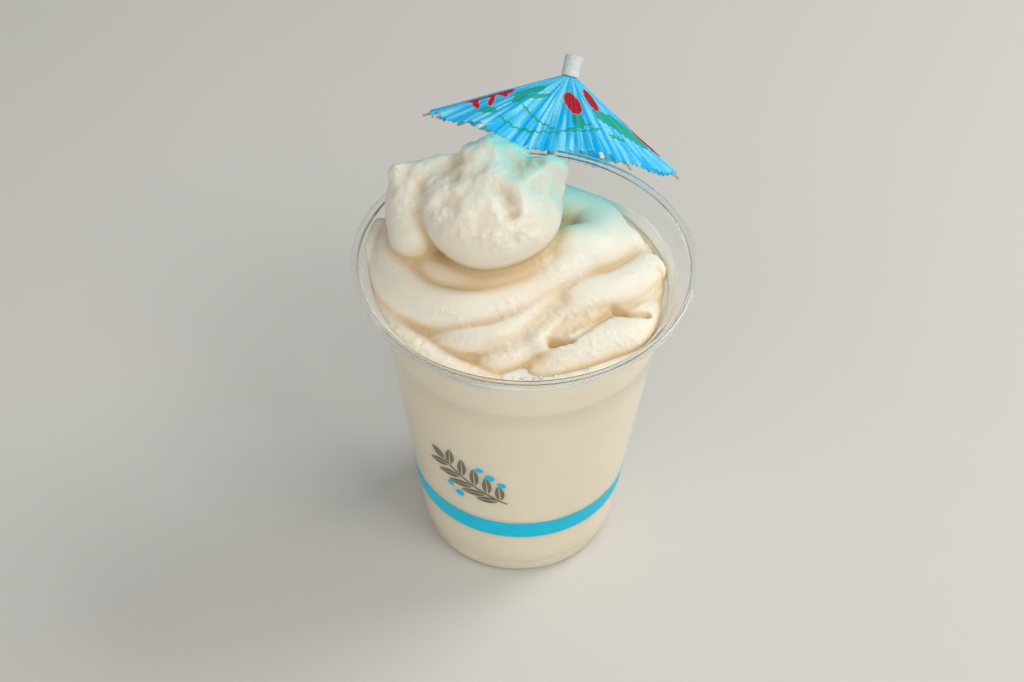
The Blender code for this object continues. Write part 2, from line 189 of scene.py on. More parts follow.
# Softer lumps that fill the torn top between the others
FILLING = [
    (-19.6, 16.6, 118.2, 4.6), (-29.6, 15.6, 116.4, 4.2), (-16.0, 12.0, 119.4, 5.2),
    (-20.4, 9.4, 117.4, 4.8), (-3.6, 5.4, 119.4, 5.2), (-12.4, -2.2, 116.6, 5.6),
    (-10.6, 8.2, 119.6, 5.6), (-6.4, 0.4, 118.0, 5.0), (-17.4, 2.2, 116.6, 5.2),
    (-24.4, 11.8, 115.8, 4.6), (3.2, 10.4, 119.8, 4.4),
]
# The low mound under the coils, as its centre and radii in millimetres
MOUND = ((0, 3, 88), (40.5, 36, 13))
# The drink's edge is drawn up the wall by this much, over this width
EDGE_RISE = 0.7 * MM
EDGE_WIDTH = 3.0 * MM
# Height of the milky film on the wall, by degrees round the cup
FILM = [
    (0, 95.5), (30, 95.0), (60, 93.5), (110, 92.6), (150, 94.5), (172, 98.8), (192, 99.2),
    (212, 97.6), (245, 95.0), (262, 93.2), (285, 92.6), (310, 93.4), (335, 95.0), (360, 95.5),
]
# Cream along the wall at the left, and a low lump at the front
RIM_CREAM = [
    (-38.0, 4.0, 91.5, 5.0), (-38.0, -8.0, 91.0, 5.0), (-33.0, -19.0, 90.6, 5.0), (-25.0, -28.0, 90.0, 5.0),
    (-15.0, -34.0, 89.0, 4.6), (-7.0, -36.5, 87.8, 4.4),
]
FRONT_LUMP = (3.4, -25.6, 95.2, 4.0)
# Dents in the crown, as (x, y, z, radius, depth) in millimetres, and the way they are pressed
DENTS = [
    (-19.5, 1.4, 119.0, 2.8, 1.3), (-5.4, 1.2, 122.0, 2.6, 1.6), (-3.6, -2.6, 119.6, 1.8, 1.2),
    (-11.2, -4.6, 119.4, 2.4, 1.0), (-28.3, 9.5, 117.7, 2.0, 1.2), (-2.2, 9.8, 126.2, 2.2, 1.8),
    (0.4, 10.4, 126.5, 2.1, 2.2), (3.0, 11.6, 126.6, 1.9, 1.9), (-19.2, 13.2, 124.0, 2.2, 1.8),
    (-19.0, 10.3, 122.0, 2.4, 1.7),
]
DENT_WAY = Vector((0.0, 0.7, -0.71))
# A dent this deep gets the full painted shade of a fold, darker cream standing in for its shade
DENT_SHADE = 3.2 * MM
# Creases between the folds at the front: a width, a depth and a path, in millimetres
CREASES = [
    (1.0, 3.0, [(7.4, -26.2, 95.2), (10.9, -25.8, 95.9), (13.0, -25.6, 96.6)]),
    (0.9, 1.5, [(13.0, -25.6, 96.6), (18.8, -20.5, 96.9), (24.1, -14.2, 96.1)]),
    (1.1, 2.8, [(24.6, -13.5, 96.2), (28.2, -14.8, 96.0), (33.5, -13.4, 94.8)]),
    (2.0, 1.1, [
        (-9.1, -30.1, 95.9), (-4.3, -29.3, 97.0), (0.5, -25.9, 98.1), (4.7, -21.2, 98.8),
        (10.7, -14.1, 99.8),
    ]),
    (0.9, 1.6, [(37.6, 4.4, 94.6), (38.3, 3.0, 93.7)]),
]
CREASE_WAY = Vector((0.0, 0.25, -1.0))
# Dents and creases press only what lies within this distance along their way
PRESS_REACH = 5.0 * MM

# Froth: the sizes of the soft unevenness, the small bumps and the grains
SOFT_SIZE = 5.0 * MM
BUMP_SIZE = 2.3 * MM
GRAIN_SIZE = 1.2 * MM
# Rounds of smoothing for the whole swirl, and then for its torn top
SMOOTHING = 12
MELTING = 45

# Bubbles at the front: how many, their turn and its spread in degrees, and in millimetres how far they
# lie from the axis and their radii
BUBBLES = 46
BUBBLE_TURN = (265, 16)
BUBBLE_REACH = (34.8, 38.6)
BUBBLE_RADII = (0.22, 0.3, 0.4, 0.55)

# Print on the paper, seen from above: x, y, length, width in millimetres and the angle in degrees
RED_SHAPES = [
    (2.9, -13.9, 9.8, 3.8, -65), (7.6, -7.3, 8.8, 3.8, -61), (-23.5, -6.4, 12.0, 7.4, 3),
    (-17.4, -5.6, 8.0, 5.6, -8), (-23.2, -10.8, 8.6, 1.5, -70), (-18.8, -11.0, 8.0, 1.4, 88),
    (-16.4, -7.6, 6.0, 1.3, -62),
]
GREEN_SHAPES = [
    (-9.4, -9.6, 8.6, 5.2, 22), (-11.4, -14.0, 7.6, 3.6, 72), (-6.6, -13.0, 7.0, 1.7, 25),
    (-19.0, -19.0, 7.4, 3.6, -65), (5.3, -21.0, 7.6, 2.9, -68), (12.6, -11.6, 9.0, 5.6, 28),
    (17.6, -8.0, 12.0, 8.4, 38), (22.4, -5.4, 9.0, 6.4, 50), (16.8, -17.5, 7.0, 1.5, 47),
    (-13.2, -26.0, 6.4, 0.8, -24), (-7.5, -27.1, 7.6, 0.9, -2), (-0.3, -26.5, 9.2, 0.8, 11),
    (6.2, -25.4, 6.2, 0.8, 5), (10.2, -23.0, 6.4, 0.9, 57), (-9.0, -19.3, 4.8, 0.8, -50),
    (-6.4, -21.9, 4.6, 0.9, -40), (-2.6, -24.3, 6.6, 0.8, -27), (4.5, -24.6, 5.0, 0.8, 25),
    (7.9, -22.5, 5.0, 0.9, 37),
]
# The print comes again on the umbrella's far side, turned by this many degrees
PRINT_AGAIN = 170
# How far the red print's pale edge reaches past it, in millimetres over its whole width
RED_EDGE = 0.7
# How white each rib's tip is painted
TIP_PAINT = (0.15, 0.5, 0.5, 0.3, 0.1, 0.35, 0.9, 0.9)

# Each area lamp's place and width, in metres; all of them face LAMP_AIM
LAMPS = {
    "key": ((0.62, 0.30, 0.66), 0.42),
    "left_front": ((-0.7, -0.8, 0.7), 0.8),
    "right_front": ((0.58, -0.50, 0.98), 0.5),
    "front": ((0.0, -1.1, 0.7), 0.8),
    "top": ((0.0, -0.55, 1.2), 0.8),
}
LAMP_AIM = Vector((0.0, 0.0, 0.06))
SKY = (0.98, 0.985, 1.0)
FLOOR_HALF = 3.0
SENSOR_WIDTH = 36.0

# Colour of the drink's paler top, partly froth and partly a painted band of light under the rim,
# and the heights between which it sets in
DRINK_FROTH_AND_LIGHT = (0.95, 0.885, 0.75)
DRINK_FROTH_AND_LIGHT_SPAN = (86.8 * MM, 90.5 * MM)
# White of the ribs' painted tips, and the two tones of the rolled paper
TIP_WHITE = (0.82, 0.83, 0.80)
PAPER_TUBE = ((0.70, 0.68, 0.62), (0.86, 0.85, 0.81))
# Shares of red, green and blue: what is left of the cream's colour where shade is painted into its
# deepest folds, and what passes of a lamp's light through the plastic and the paper
FOLD_SHADE_TINT = (0.78, 0.66, 0.46)
THROUGH_PLASTIC = (0.97, 0.975, 0.97)
THROUGH_PAPER = (0.42, 0.82, 0.80)
# Share of the paper's look that is light from behind it
PAPER_GLOW = 0.35


def wall_radius(z):
    """Outer radius of the cup's wall at a height, without the bead."""
    radius = BASE_RADIUS + WALL_SLOPE * z
    if z > SHOULDER_Z:
        radius += SHOULDER_STEP * min(1.0, (z - SHOULDER_Z) / SHOULDER_RISE)
    if z > FLARE_Z:
        radius += FLARE_OUT * ((z - FLARE_Z) / (FLARE_TOP_Z - FLARE_Z)) ** FLARE_CURVE
    return radius


def inside_radius(z):
    return wall_radius(z) - WALL * math.hypot(1.0, WALL_SLOPE)


def steps(start, end, count):
    return [start + (end - start) * k / count for k in range(count + 1)]


class BatidoStage(bpy.types.PropertyGroup):
    """Floor, camera and lamps."""

    floor: FloatVectorProperty(
        name="Floor", description="Colour of the pale floor", subtype="COLOR", default=(0.72, 0.695, 0.64))
    fill: FloatProperty(name="Fill", description="Strength of the soft light all round", default=0.31)
    key: FloatProperty(
        name="Key", description="Power of the lamp at the right", default=3.5, unit="POWER")
    left_front: FloatProperty(
        name="Left Front", description="Power of the big lamp at the left front", default=1.6, unit="POWER")
    right_front: FloatProperty(
        name="Right Front", description="Power of the big lamp at the right front", default=3.5,
        unit="POWER")
    front: FloatProperty(
        name="Front", description="Power of the big lamp in front", default=2.5, unit="POWER")
    top: FloatProperty(
        name="Top", description="Power of the big lamp high in front", default=0.2, unit="POWER")
    camera_place: FloatVectorProperty(
        name="Camera", description="Where the camera stands", subtype="TRANSLATION", unit="LENGTH",
        default=(0.0, -0.44742, 0.52254))
    camera_turn: FloatVectorProperty(
        name="Camera Turn", description="Pitch below the horizon, yaw and roll", subtype="EULER",
        default=(0.7919, -0.0064, 0.0228))
    lens: FloatProperty(name="Lens", description="Focal length on a 36 mm sensor, in mm", default=79.24)


class BatidoCup(bpy.types.PropertyGroup):
    """The clear cup and its print."""

    tint: FloatVectorProperty(
        name="Plastic", description="Tint of the clear plastic", subtype="COLOR",
        default=(0.985, 0.99, 0.985))
    ink: FloatVectorProperty(
        name="Band Ink", description="Colour of the printed band", subtype="COLOR",
        default=(0.0, 0.61, 0.87))
    leaf_ink: FloatVectorProperty(
        name="Leaf Ink", description="Colour of the printed leaves", subtype="COLOR",
        default=(0.20, 0.185, 0.115))
    band_low: FloatProperty(
        name="Band Bottom", description="Height of the band's lower edge", default=19.6 * MM, unit="LENGTH")
    band_high: FloatProperty(
        name="Band Top", description="Height of the band's upper edge", default=26.5 * MM, unit="LENGTH")
    print_turn: FloatProperty(
        name="Print Turn", description="Where the sprig is round the cup", default=math.radians(-109.8),
        subtype="ANGLE")
    print_z: FloatProperty(
        name="Print Height", description="Height of the sprig's middle", default=42.4 * MM, unit="LENGTH")


class BatidoCream(bpy.types.PropertyGroup):
    """The milkshake and its whipped swirl."""

    drink: FloatVectorProperty(
        name="Drink", description="Colour of the milkshake", subtype="COLOR",
        default=(0.915, 0.815, 0.645))
    cream: FloatVectorProperty(
        name="Cream", description="Colour of the whipped swirl", subtype="COLOR",
        default=(0.94, 0.855, 0.72))
    level: FloatProperty(
        name="Level", description="Height of the drink's surface", default=91.2 * MM, unit="LENGTH")
    voxel: FloatProperty(
        name="Detail", description="Size of the swirl's smallest facets", default=0.45 * MM, unit="LENGTH")
    crown_froth: FloatProperty(
        name="Crown Froth", description="Depth of the unevenness in the torn top", default=0.7 * MM,
        unit="LENGTH")
    froth: FloatProperty(
        name="Froth", description="Depth of the fine froth", default=0.30 * MM, unit="LENGTH")


class BatidoUmbrella(bpy.types.PropertyGroup):
    """The paper umbrella."""

    paper: FloatVectorProperty(
        name="Paper", description="Deep colour of the paper", subtype="COLOR", default=(0.0, 0.59, 0.92))
    # The pale colour shows on worn streaks along the folds and, as painted highlight, on the fold crests
    pale: FloatVectorProperty(
        name="Pale Folds", description="Colour on the worn folds", subtype="COLOR",
        default=(0.40, 0.91, 1.0))
    red: FloatVectorProperty(
        name="Red Print", description="Red of the blossoms", subtype="COLOR", default=(0.60, 0.022, 0.055))
    green: FloatVectorProperty(
        name="Green Print", description="Green of the leaves", subtype="COLOR", default=(0.0, 0.50, 0.34))
    wood: FloatVectorProperty(
        name="Wood", description="Colour of the bamboo", subtype="COLOR", default=(0.62, 0.47, 0.30))
    pleats: IntProperty(name="Pleats", description="Folds all round the paper", default=76, min=16)


def finish_mesh(name, shape, smooth_angle=None):
    """A linked object from a bmesh, shaded smooth below an angle in degrees."""
    bmesh.ops.recalc_face_normals(shape, faces=shape.faces)
    mesh = bpy.data.meshes.new(name)
    shape.to_mesh(mesh)
    shape.free()
    if smooth_angle:
        mesh.shade_smooth()
        mesh.set_sharp_from_angle(angle=math.radians(smooth_angle))
    obj = bpy.data.objects.new(name, mesh)
    bpy.context.scene.collection.objects.link(obj)
    return obj


def turned(name, outline, sides, smooth_angle=35):
    """A closed solid from (radius, height) points; a radius of 0 closes it on the axis."""
    shape = bmesh.new()
    rings = []
    for radius, height in outline:
        if radius == 0.0:
            rings.append([shape.verts.new((0.0, 0.0, height))])
            continue
        turns = [2 * math.pi * k / sides for k in range(sides)]
        rings.append([shape.verts.new((radius * math.cos(t), radius * math.sin(t), height)) for t in turns])
    pairs = list(zip(rings, rings[1:]))
    if len(rings[0]) > 1:
        pairs.append((rings[-1], rings[0]))
    for low, high in pairs:
        for k in range(sides):
            corners = [low[k % len(low)], low[(k + 1) % len(low)]]
            corners += [high[(k + 1) % len(high)], high[k % len(high)]]
            shape.faces.new(list(dict.fromkeys(corners)))
    return finish_mesh(name, shape, smooth_angle)


def join_rings(shape, here, there):
    """Faces between two rings that have as many points."""
    for k in range(len(here)):
        after = (k + 1) % len(here)
        shape.faces.new((here[k], here[after], there[after], there[k]))


def place_piece(obj, node_slot, finish, *nodes):
    """Gives a piece its material and its body, and hides the nodes that it stands for; node_slot is not
    used.
    """
    obj.data.materials.clear()
    obj.data.materials.append(finish)
    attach(obj, "root")
    if nodes:
        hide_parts(*nodes)


class Nodes:
    """Short calls for building one material's nodes."""

    def __init__(self, name, roughness, specular=0.5):
        self.material = bpy.data.materials.new(name)
        self.material.use_nodes = True
        self.tree = self.material.node_tree
        self.shader = self.tree.nodes["Principled BSDF"]
        self.output = self.tree.nodes["Material Output"]
        self.set("Roughness", roughness)
        self.set("Specular IOR Level", specular)

    def set(self, name, value):
        self.shader.inputs[name].default_value = value

    def link(self, source, target):
        self.tree.links.new(source, target)

    def add(self, kind, **values):
        node = self.tree.nodes.new(kind)
        for key, value in values.items():
            if hasattr(node, key):
                setattr(node, key, value)
            else:
                node.inputs[key.replace("_", " ").title()].default_value = value
        return node

    def noise(self, scale, detail=3.0, vector=None, stretch=None, roughness=0.5):
        node = self.add("ShaderNodeTexNoise", scale=scale, detail=detail, roughness=roughness)
        if vector is None:
            vector = self.add("ShaderNodeTexCoord").outputs["Object"]
        if stretch:
            mapping = self.add("ShaderNodeMapping")
            mapping.inputs["Scale"].default_value = stretch
            self.link(vector, mapping.inputs["Vector"])
            vector = mapping.outputs["Vector"]
        self.link(vector, node.inputs["Vector"])
        return node.outputs["Fac"]

    def math(self, operation, first, second=None, clamp=False):
        node = self.add("ShaderNodeMath", operation=operation, use_clamp=clamp)
        for socket, value in zip(node.inputs, (first, second)):
            if isinstance(value, (int, float)):
                socket.default_value = value
            elif value is not None:
                self.link(value, socket)
        return node.outputs[0]

    def span(self, value, low, high, to_low=0.0, to_high=1.0):
        node = self.add("ShaderNodeMapRange")
        for name, number in zip(("From Min", "From Max", "To Min", "To Max"), (low, high, to_low, to_high)):
            node.inputs[name].default_value = number
        self.link(value, node.inputs["Value"])
        return node.outputs["Result"]

    def mix(self, share, first, second):
        node = self.add("ShaderNodeMix", data_type="RGBA")
        for socket, value in ((node.inputs[0], share), (node.inputs[6], first), (node.inputs[7], second)):
            if isinstance(value, (int, float)):
                socket.default_value = value
            elif isinstance(value, bpy.types.NodeSocket):
                self.link(value, socket)
            else:
                socket.default_value = (*value[:3], 1.0)
        return node.outputs[2]

    def colour(self, source):
        if isinstance(source, bpy.types.NodeSocket):
            self.link(source, self.shader.inputs["Base Color"])
        else:
            self.set("Base Color", (*source[:3], 1.0))

    def bump(self, height, distance, strength=1.0):
        node = self.add("ShaderNodeBump", distance=distance, strength=strength)
        self.link(height, node.inputs["Height"])
        self.link(node.outputs["Normal"], self.shader.inputs["Normal"])

    def pass_lamps(self, tint):
        """Lets lamps shine through the surface, tinted, so that what is behind it is lit."""
        clear = self.add("ShaderNodeBsdfTransparent")
        clear.inputs["Color"].default_value = (*tint, 1.0)
        path = self.add("ShaderNodeLightPath")
        mixer = self.add("ShaderNodeMixShader")
        self.link(path.outputs["Is Shadow Ray"], mixer.inputs["Fac"])
        self.link(self.shader.outputs[0], mixer.inputs[1])
        self.link(clear.outputs[0], mixer.inputs[2])
        self.link(mixer.outputs[0], self.output.inputs["Surface"])
        return mixer


def floor_finish(settings):
    n = Nodes("pale floor", 0.55, 0.25)
    shade = n.noise(6.0, 2.0)
    n.colour(n.mix(n.span(shade, 0.3, 0.7), [c * 0.985 for c in settings.floor], settings.floor))
    return n.material


def plastic_finish(settings):
    n = Nodes("clear plastic", 0.035, 0.5)
    n.colour(settings.tint)
    n.set("Transmission Weight", 1.0)
    n.set("IOR", 1.3)
    n.bump(n.noise(60.0, 1.0), 0.00004, 0.2)
    n.pass_lamps(THROUGH_PLASTIC)
    return n.material


def ink_finish(name, ink):
    n = Nodes(name, 0.38, 0.15)
    wear = n.noise(420.0, 4.0)
    n.colour(n.mix(n.span(wear, 0.35, 0.75), ink, [min(1.0, c * 1.08 + 0.01) for c in ink]))
    n.bump(n.noise(1500.0, 2.0), 0.00002, 0.4)
    return n.material


def drink_finish(settings):
    n = Nodes("milkshake", 0.22, 0.4)
    cloud = n.noise(45.0, 3.0)
    pale = [min(1.0, c * 1.035) for c in settings.drink]
    body = n.mix(n.span(cloud, 0.35, 0.65), settings.drink, pale)
    parts = n.add("ShaderNodeSeparateXYZ")
    n.link(n.add("ShaderNodeTexCoord").outputs["Object"], parts.inputs[0])
    height = n.math("ADD", parts.outputs[2], n.math("MULTIPLY", cloud, 2.0 * MM))
    # Painted light: the drink turns paler towards its top, froth that also stands in for light under the rim
    froth = n.span(height, *DRINK_FROTH_AND_LIGHT_SPAN)
    n.colour(n.mix(froth, body, DRINK_FROTH_AND_LIGHT))
    n.set("Subsurface Weight", 0.6)
    n.set("Subsurface Radius", (1.0, 0.72, 0.42))
    n.set("Subsurface Scale", 0.004)
    n.bump(n.noise(900.0, 3.0), 0.00003, 0.5)
    return n.material


def cream_finish(settings):
    n = Nodes("whipped cream", 0.42, 0.35)
    froth = n.add("ShaderNodeAttribute", attribute_name="froth").outputs["Fac"]
    hollow = n.add("ShaderNodeAttribute", attribute_name="hollow").outputs["Fac"]
    deep = [c * f for c, f in zip(settings.cream, FOLD_SHADE_TINT)]
    # Painted shade: the cream's colour darkens in its folds, dents and creases, where shade falls
    n.colour(n.mix(n.span(hollow, 0.0, 1.0), settings.cream, deep))
    n.set("Subsurface Weight", 1.0)
    n.set("Subsurface Radius", (1.0, 0.74, 0.45))
    n.set("Subsurface Scale", 0.0010)
    fine = n.noise(1500.0, 4.0, roughness=0.6)
    n.bump(n.math("MULTIPLY", fine, n.span(froth, 0.0, 1.0, 0.25, 1.0)), 0.00016, 0.9)
    return n.material


def cut_out(n, place, shape):
    """1 inside an ellipse of the print."""
    x, y, length, width, turn = shape
    mapping = n.add("ShaderNodeMapping", vector_type="TEXTURE")
    mapping.inputs["Location"].default_value = (x, y, 0.0)
    mapping.inputs["Rotation"].default_value = (0.0, 0.0, math.radians(turn))
    mapping.inputs["Scale"].default_value = (length / 2, width / 2, 1.0)
    n.link(place, mapping.inputs["Vector"])
    far = n.add("ShaderNodeVectorMath", operation="LENGTH")
    n.link(mapping.outputs["Vector"], far.inputs[0])
    return n.math("LESS_THAN", far.outputs["Value"], 1.0)


def print_mask(n, place, shapes):
    masks = [cut_out(n, place, shape) for shape in shapes]
    total = masks[0]
    for mask in masks[1:]:
        total = n.math("MAXIMUM", total, mask)
    return total


def turned_about(shapes, turn):
    """The same print again, turned about the umbrella's peak."""
    result = []
    for x, y, length, width, angle in shapes:
        c, s = math.cos(math.radians(turn)), math.sin(math.radians(turn))
        result.append((x * c - y * s, x * s + y * c, length, width, angle + turn))
    return result


def paper_finish(settings):
    n = Nodes("printed tissue paper", 0.55, 0.3)
    flat = n.add("ShaderNodeAttribute", attribute_name="print_place").outputs["Vector"]
    fold = n.add("ShaderNodeAttribute", attribute_name="fold_place").outputs["Vector"]
    wobble = n.add("ShaderNodeTexNoise", scale=0.9, detail=2.0)
    n.link(flat, wobble.inputs["Vector"])
    shift = n.add("ShaderNodeVectorMath", operation="MULTIPLY_ADD")
    n.link(wobble.outputs["Color"], shift.inputs[0])
    shift.inputs[1].default_value = (0.9, 0.9, 0.0)
    n.link(flat, shift.inputs[2])
    place = shift.outputs[0]
    parts = n.add("ShaderNodeSeparateXYZ")
    n.link(fold, parts.inputs[0])
    streak = n.noise(1.0, 3.0, vector=fold, stretch=(0.55, 0.035, 0.0))
    mottle = n.noise(1.6, 5.0, vector=flat, roughness=0.7)
    # Painted highlight: the fold crests turn paler, as where light catches them; the streaks are wear
    crest = n.math("MULTIPLY", n.span(parts.outputs[2], -0.2, 1.0), n.span(mottle, 0.38, 0.6))
    worn = n.math("MAXIMUM", n.span(streak, 0.47, 0.58), n.math("MULTIPLY", crest, 0.75), clamp=True)
    worn = n.math("MULTIPLY", worn, n.span(mottle, 0.3, 0.62, 0.35, 1.0))
    base = n.mix(worn, settings.paper, settings.pale)
    greens = GREEN_SHAPES + turned_about(GREEN_SHAPES, PRINT_AGAIN)
    green = print_mask(n, place, greens)
    green = n.math("MULTIPLY", green, n.span(mottle, 0.3, 0.5, 0.55, 1.0))
    base = n.mix(n.math("MULTIPLY", green, 0.85), base, settings.green)
    reds = RED_SHAPES + turned_about(RED_SHAPES, PRINT_AGAIN)
    rim = print_mask(n, place, [(x, y, a + RED_EDGE, b + RED_EDGE, t) for x, y, a, b, t in reds])
    base = n.mix(rim, base, [c * 0.5 + 0.38 for c in settings.red])
    base = n.mix(print_mask(n, place, reds), base, settings.red)
    n.colour(base)
    n.bump(n.math("ADD", n.noise(2.2, 4.0, vector=flat), n.math("MULTIPLY", streak, 0.6)), 0.0002, 0.5)
    glow = n.add("ShaderNodeBsdfTranslucent")
    n.link(base, glow.inputs["Color"])
    through = n.add("ShaderNodeMixShader")
    through.inputs["Fac"].default_value = PAPER_GLOW
    n.link(n.shader.outputs[0], through.inputs[1])
    n.link(glow.outputs[0], through.inputs[2])
    mixer = n.pass_lamps(THROUGH_PAPER)
    n.link(through.outputs[0], mixer.inputs[1])
    return n.material


def wood_finish(settings):
    n = Nodes("bamboo", 0.6, 0.3)
    grain = n.noise(900.0, 4.0, stretch=(1.0, 1.0, 0.12))
    dark = [c * 0.62 for c in settings.wood]
    paint = n.add("ShaderNodeAttribute", attribute_name="paint").outputs["Fac"]
    bare = n.mix(n.span(grain, 0.35, 0.65), dark, settings.wood)
    worn = n.math("MULTIPLY", paint, n.span(grain, 0.25, 0.45, 0.6, 1.0))
    n.colour(n.mix(worn, bare, TIP_WHITE))
    n.bump(grain, 0.0001, 0.6)
    return n.material


def rolled_finish():
    n = Nodes("rolled white paper", 0.75, 0.2)
    fibre = n.noise(1300.0, 4.0, stretch=(1.0, 1.0, 0.2))
    n.colour(n.mix(n.span(fibre, 0.3, 0.7), *PAPER_TUBE))
    n.bump(fibre, 0.00012, 0.7)
    return n.material


def cup_outline():
    """The cup's whole section, from the middle of its underside over the rim to its floor."""
    outside = [(0.0, 0.0), (PAD_RADIUS, 0.0)]
    outside += [(PAD_RADIUS + GROOVE_SIDE, GROOVE_DEPTH), (FOOT_RING - GROOVE_SIDE, GROOVE_DEPTH)]
    outside += [(FOOT_RING, 0.0), (wall_radius(CORNER) - CORNER - FOOT_STEP, 0.0)]
    for turn in steps(10, 90, 8):
        angle = math.radians(turn)
        radius = wall_radius(CORNER) - FOOT_STEP - CORNER * (1 - math.sin(angle))
        outside.append((radius, CORNER * (1 - math.cos(angle))))
    outside.append((wall_radius(FOOT_STEP_Z) - FOOT_STEP, FOOT_STEP_Z))
    heights = [FOOT_STEP_Z + 0.6 * MM] + steps(10 * MM, SHOULDER_Z, 8) + [SHOULDER_Z + SHOULDER_RISE]
    outside += [(wall_radius(z), z) for z in heights + steps(FLARE_Z, FLARE_TOP_Z, 16)]
    bead = []
    for radius, start, end, count in ((CURL_INSIDE, 200, -100, 20), (BEAD, -115, 180, 24)):
        for turn in steps(start, end, count):
            angle = math.radians(turn)
            bead.append((BEAD_CENTRE + radius * math.cos(angle), BEAD_Z + radius * math.sin(angle)))
    heights = steps(FLARE_TOP_Z - 0.2 * MM, FLARE_Z, 16) + [SHOULDER_Z + 0.9 * MM, SHOULDER_Z - 0.2 * MM]
    inside = [(inside_radius(z), z) for z in heights + steps(70 * MM, CORNER, 6)]
    inside += [(inside_radius(CORNER) - 0.7 * CORNER, WALL), (FOOT_RING + FLOOR_SIDE_FOOT, WALL)]
    inside.append((FOOT_RING - FLOOR_SIDE_TOP, GROOVE_DEPTH + WALL))
    inside.append((PAD_RADIUS + FLOOR_SIDE_TOP, GROOVE_DEPTH + WALL))
    inside += [(PAD_RADIUS - FLOOR_SIDE_FOOT, WALL), (0.0, WALL)]
    return outside + bead + inside


def on_wall(across, up, settings, lift):
    """A point on the cup's outside, across and up from the sprig's middle along the wall."""
    z = settings.print_z + up / math.hypot(1.0, WALL_SLOPE)
    radius = wall_radius(z) + lift
    turn = settings.print_turn + across / wall_radius(settings.print_z)
    return Vector((radius * math.cos(turn), radius * math.sin(turn), z))


def print_patch(shape, grid, settings):
    """Adds a thin closed patch of ink to a bmesh, from rows of (across, up) points."""
    layers = []
    for lift in (INK_UNDERSIDE, INK_TOP):
        layers.append([[shape.verts.new(on_wall(u, v, settings, lift)) for u, v in row] for row in grid])
    rows, columns = len(grid), len(grid[0])
    for layer in layers:
        for i in range(rows - 1):
            for j in range(columns - 1):
                shape.faces.new((layer[i][j], layer[i][j + 1], layer[i + 1][j + 1], layer[i + 1][j]))
    border = [(0, j) for j in range(columns)] + [(i, columns - 1) for i in range(1, rows)]
    border += [(rows - 1, j) for j in range(columns - 2, -1, -1)] + [(i, 0) for i in range(rows - 2, 0, -1)]
    for (i, j), (k, m) in zip(border, border[1:] + border[:1]):
        shape.faces.new((layers[0][i][j], layers[0][k][m], layers[1][k][m], layers[1][i][j]))


def half_leaf(start, turn, length, width, side):
    """One side of a leaf beside its midrib, as rows of points."""
    c, s = math.cos(turn), math.sin(turn)
    rows = []
    for t in steps(0.0, 1.0, 14):
        swell = math.sin(math.pi * (0.02 + 0.96 * t ** 0.85)) ** 0.8 * width / 2
        vein = 0.16 * MM + 0.12 * MM * (1 - t)
        row = []
        for share in (0.0, 0.33, 0.66, 1.0):
            off = side * (vein + share * max(swell - vein, 0.05 * MM))
            along = t * length
            row.append((start[0] + along * c - off * s, start[1] + along * s + off * c))
        rows.append(row)
    return rows


def dot(centre, radius):
    """A round dot as rows of points between its lower and upper halves."""
    rows = []
    for t in steps(-0.98, 0.98, 10):
        half = math.sqrt(1 - t * t) * radius
        shares = (-1.0, -0.33, 0.33, 1.0)
        rows.append([(centre[0] + share * half, centre[1] + t * radius) for share in shares])
    return rows


def sprig_stem():
    """The stem's middle line from its upper end, as (across, up) points."""
    line = []
    for t in steps(0.0, 1.0, STEM_POINTS):
        across = STEM_START[0] * MM + STEM_ACROSS * MM * t
        line.append((across, (STEM_START[1] + STEM_FALL[0] * t + STEM_FALL[1] * t * t) * MM))
    return line


def add_leaf(shape, start, turn, length, width, settings):
    for side in (1, -1):
        print_patch(shape, half_leaf(start, turn, length, width, side), settings)


def build_leaves(settings):
    """The sprig's stem, its pairs of leaves, longest in the middle, and the leaf at its tip."""
    shape = bmesh.new()
    stem = sprig_stem()
    rows = [[(x + STEM_HALF, y + STEM_HALF), (x - STEM_HALF, y - STEM_HALF)] for x, y in stem]
    print_patch(shape, rows, settings)
    for k, index in enumerate(LEAF_PAIRS):
        across, up = stem[index]
        length = (5.6 + 2.4 * math.sin(math.pi * (k + 1) / 6)) * MM
        for side in (1, -1):
            turn = math.radians(STEM_TURN + side * (LEAF_SPREAD - 2 * k))
            start = (across + LEAF_GAP * math.cos(turn), up + LEAF_GAP * math.sin(turn))
            add_leaf(shape, start, turn, length, LEAF_WIDTH, settings)
    add_leaf(shape, stem[0], math.radians(STEM_TURN), *TIP_LEAF, settings)
    return finish_mesh("printed_leaves", shape)


def build_berries(settings):
    shape = bmesh.new()
    for across, up, radius in BERRIES:
        print_patch(shape, dot((across * MM, up * MM), radius * MM), settings)
    return finish_mesh("printed_berries", shape)


def drink_outline(level):
    """The milkshake's section, a little into the plastic all round, with its edge drawn up the wall."""
    floor = WALL - INTO_WALL
    corner = inside_radius(CORNER)
    outline = [(0.0, floor), (PAD_RADIUS, floor), (PAD_RADIUS + 1.1 * MM, GROOVE_DEPTH + floor)]
    outline += [(FOOT_RING - 1.1 * MM, GROOVE_DEPTH + floor), (FOOT_RING, floor)]
    outline += [(corner - 0.6 * CORNER, floor), (corner - 0.1 * CORNER, 0.6 * CORNER)]
    top = level + EDGE_RISE
    heights = steps(CORNER, SHOULDER_Z, 8) + steps(SHOULDER_Z + SHOULDER_RISE, top, 8)
    outline += [(inside_radius(z) + INTO_WALL, z) for z in heights]
    rim = inside_radius(top) + INTO_WALL
    for t in steps(0.1, 1.0, 8):
        outline.append((rim - EDGE_WIDTH * t, level + EDGE_RISE * (1 - t) ** 2.5))
    return outline + [(0.0, level)]


def film_top(turn):
    """Height that the film of drink reaches on the wall at a turn round the cup."""
    degrees = math.degrees(turn) % 360
    height = np.interp(degrees, [point[0] for point in FILM], [point[1] for point in FILM])
    ragged = noise.fractal(Vector((math.cos(turn) * 7, math.sin(turn) * 7, 3.0)), 1.0, 2.0, 4)
    return (height + 0.9 * ragged * (height - 91.5) / 5) * MM


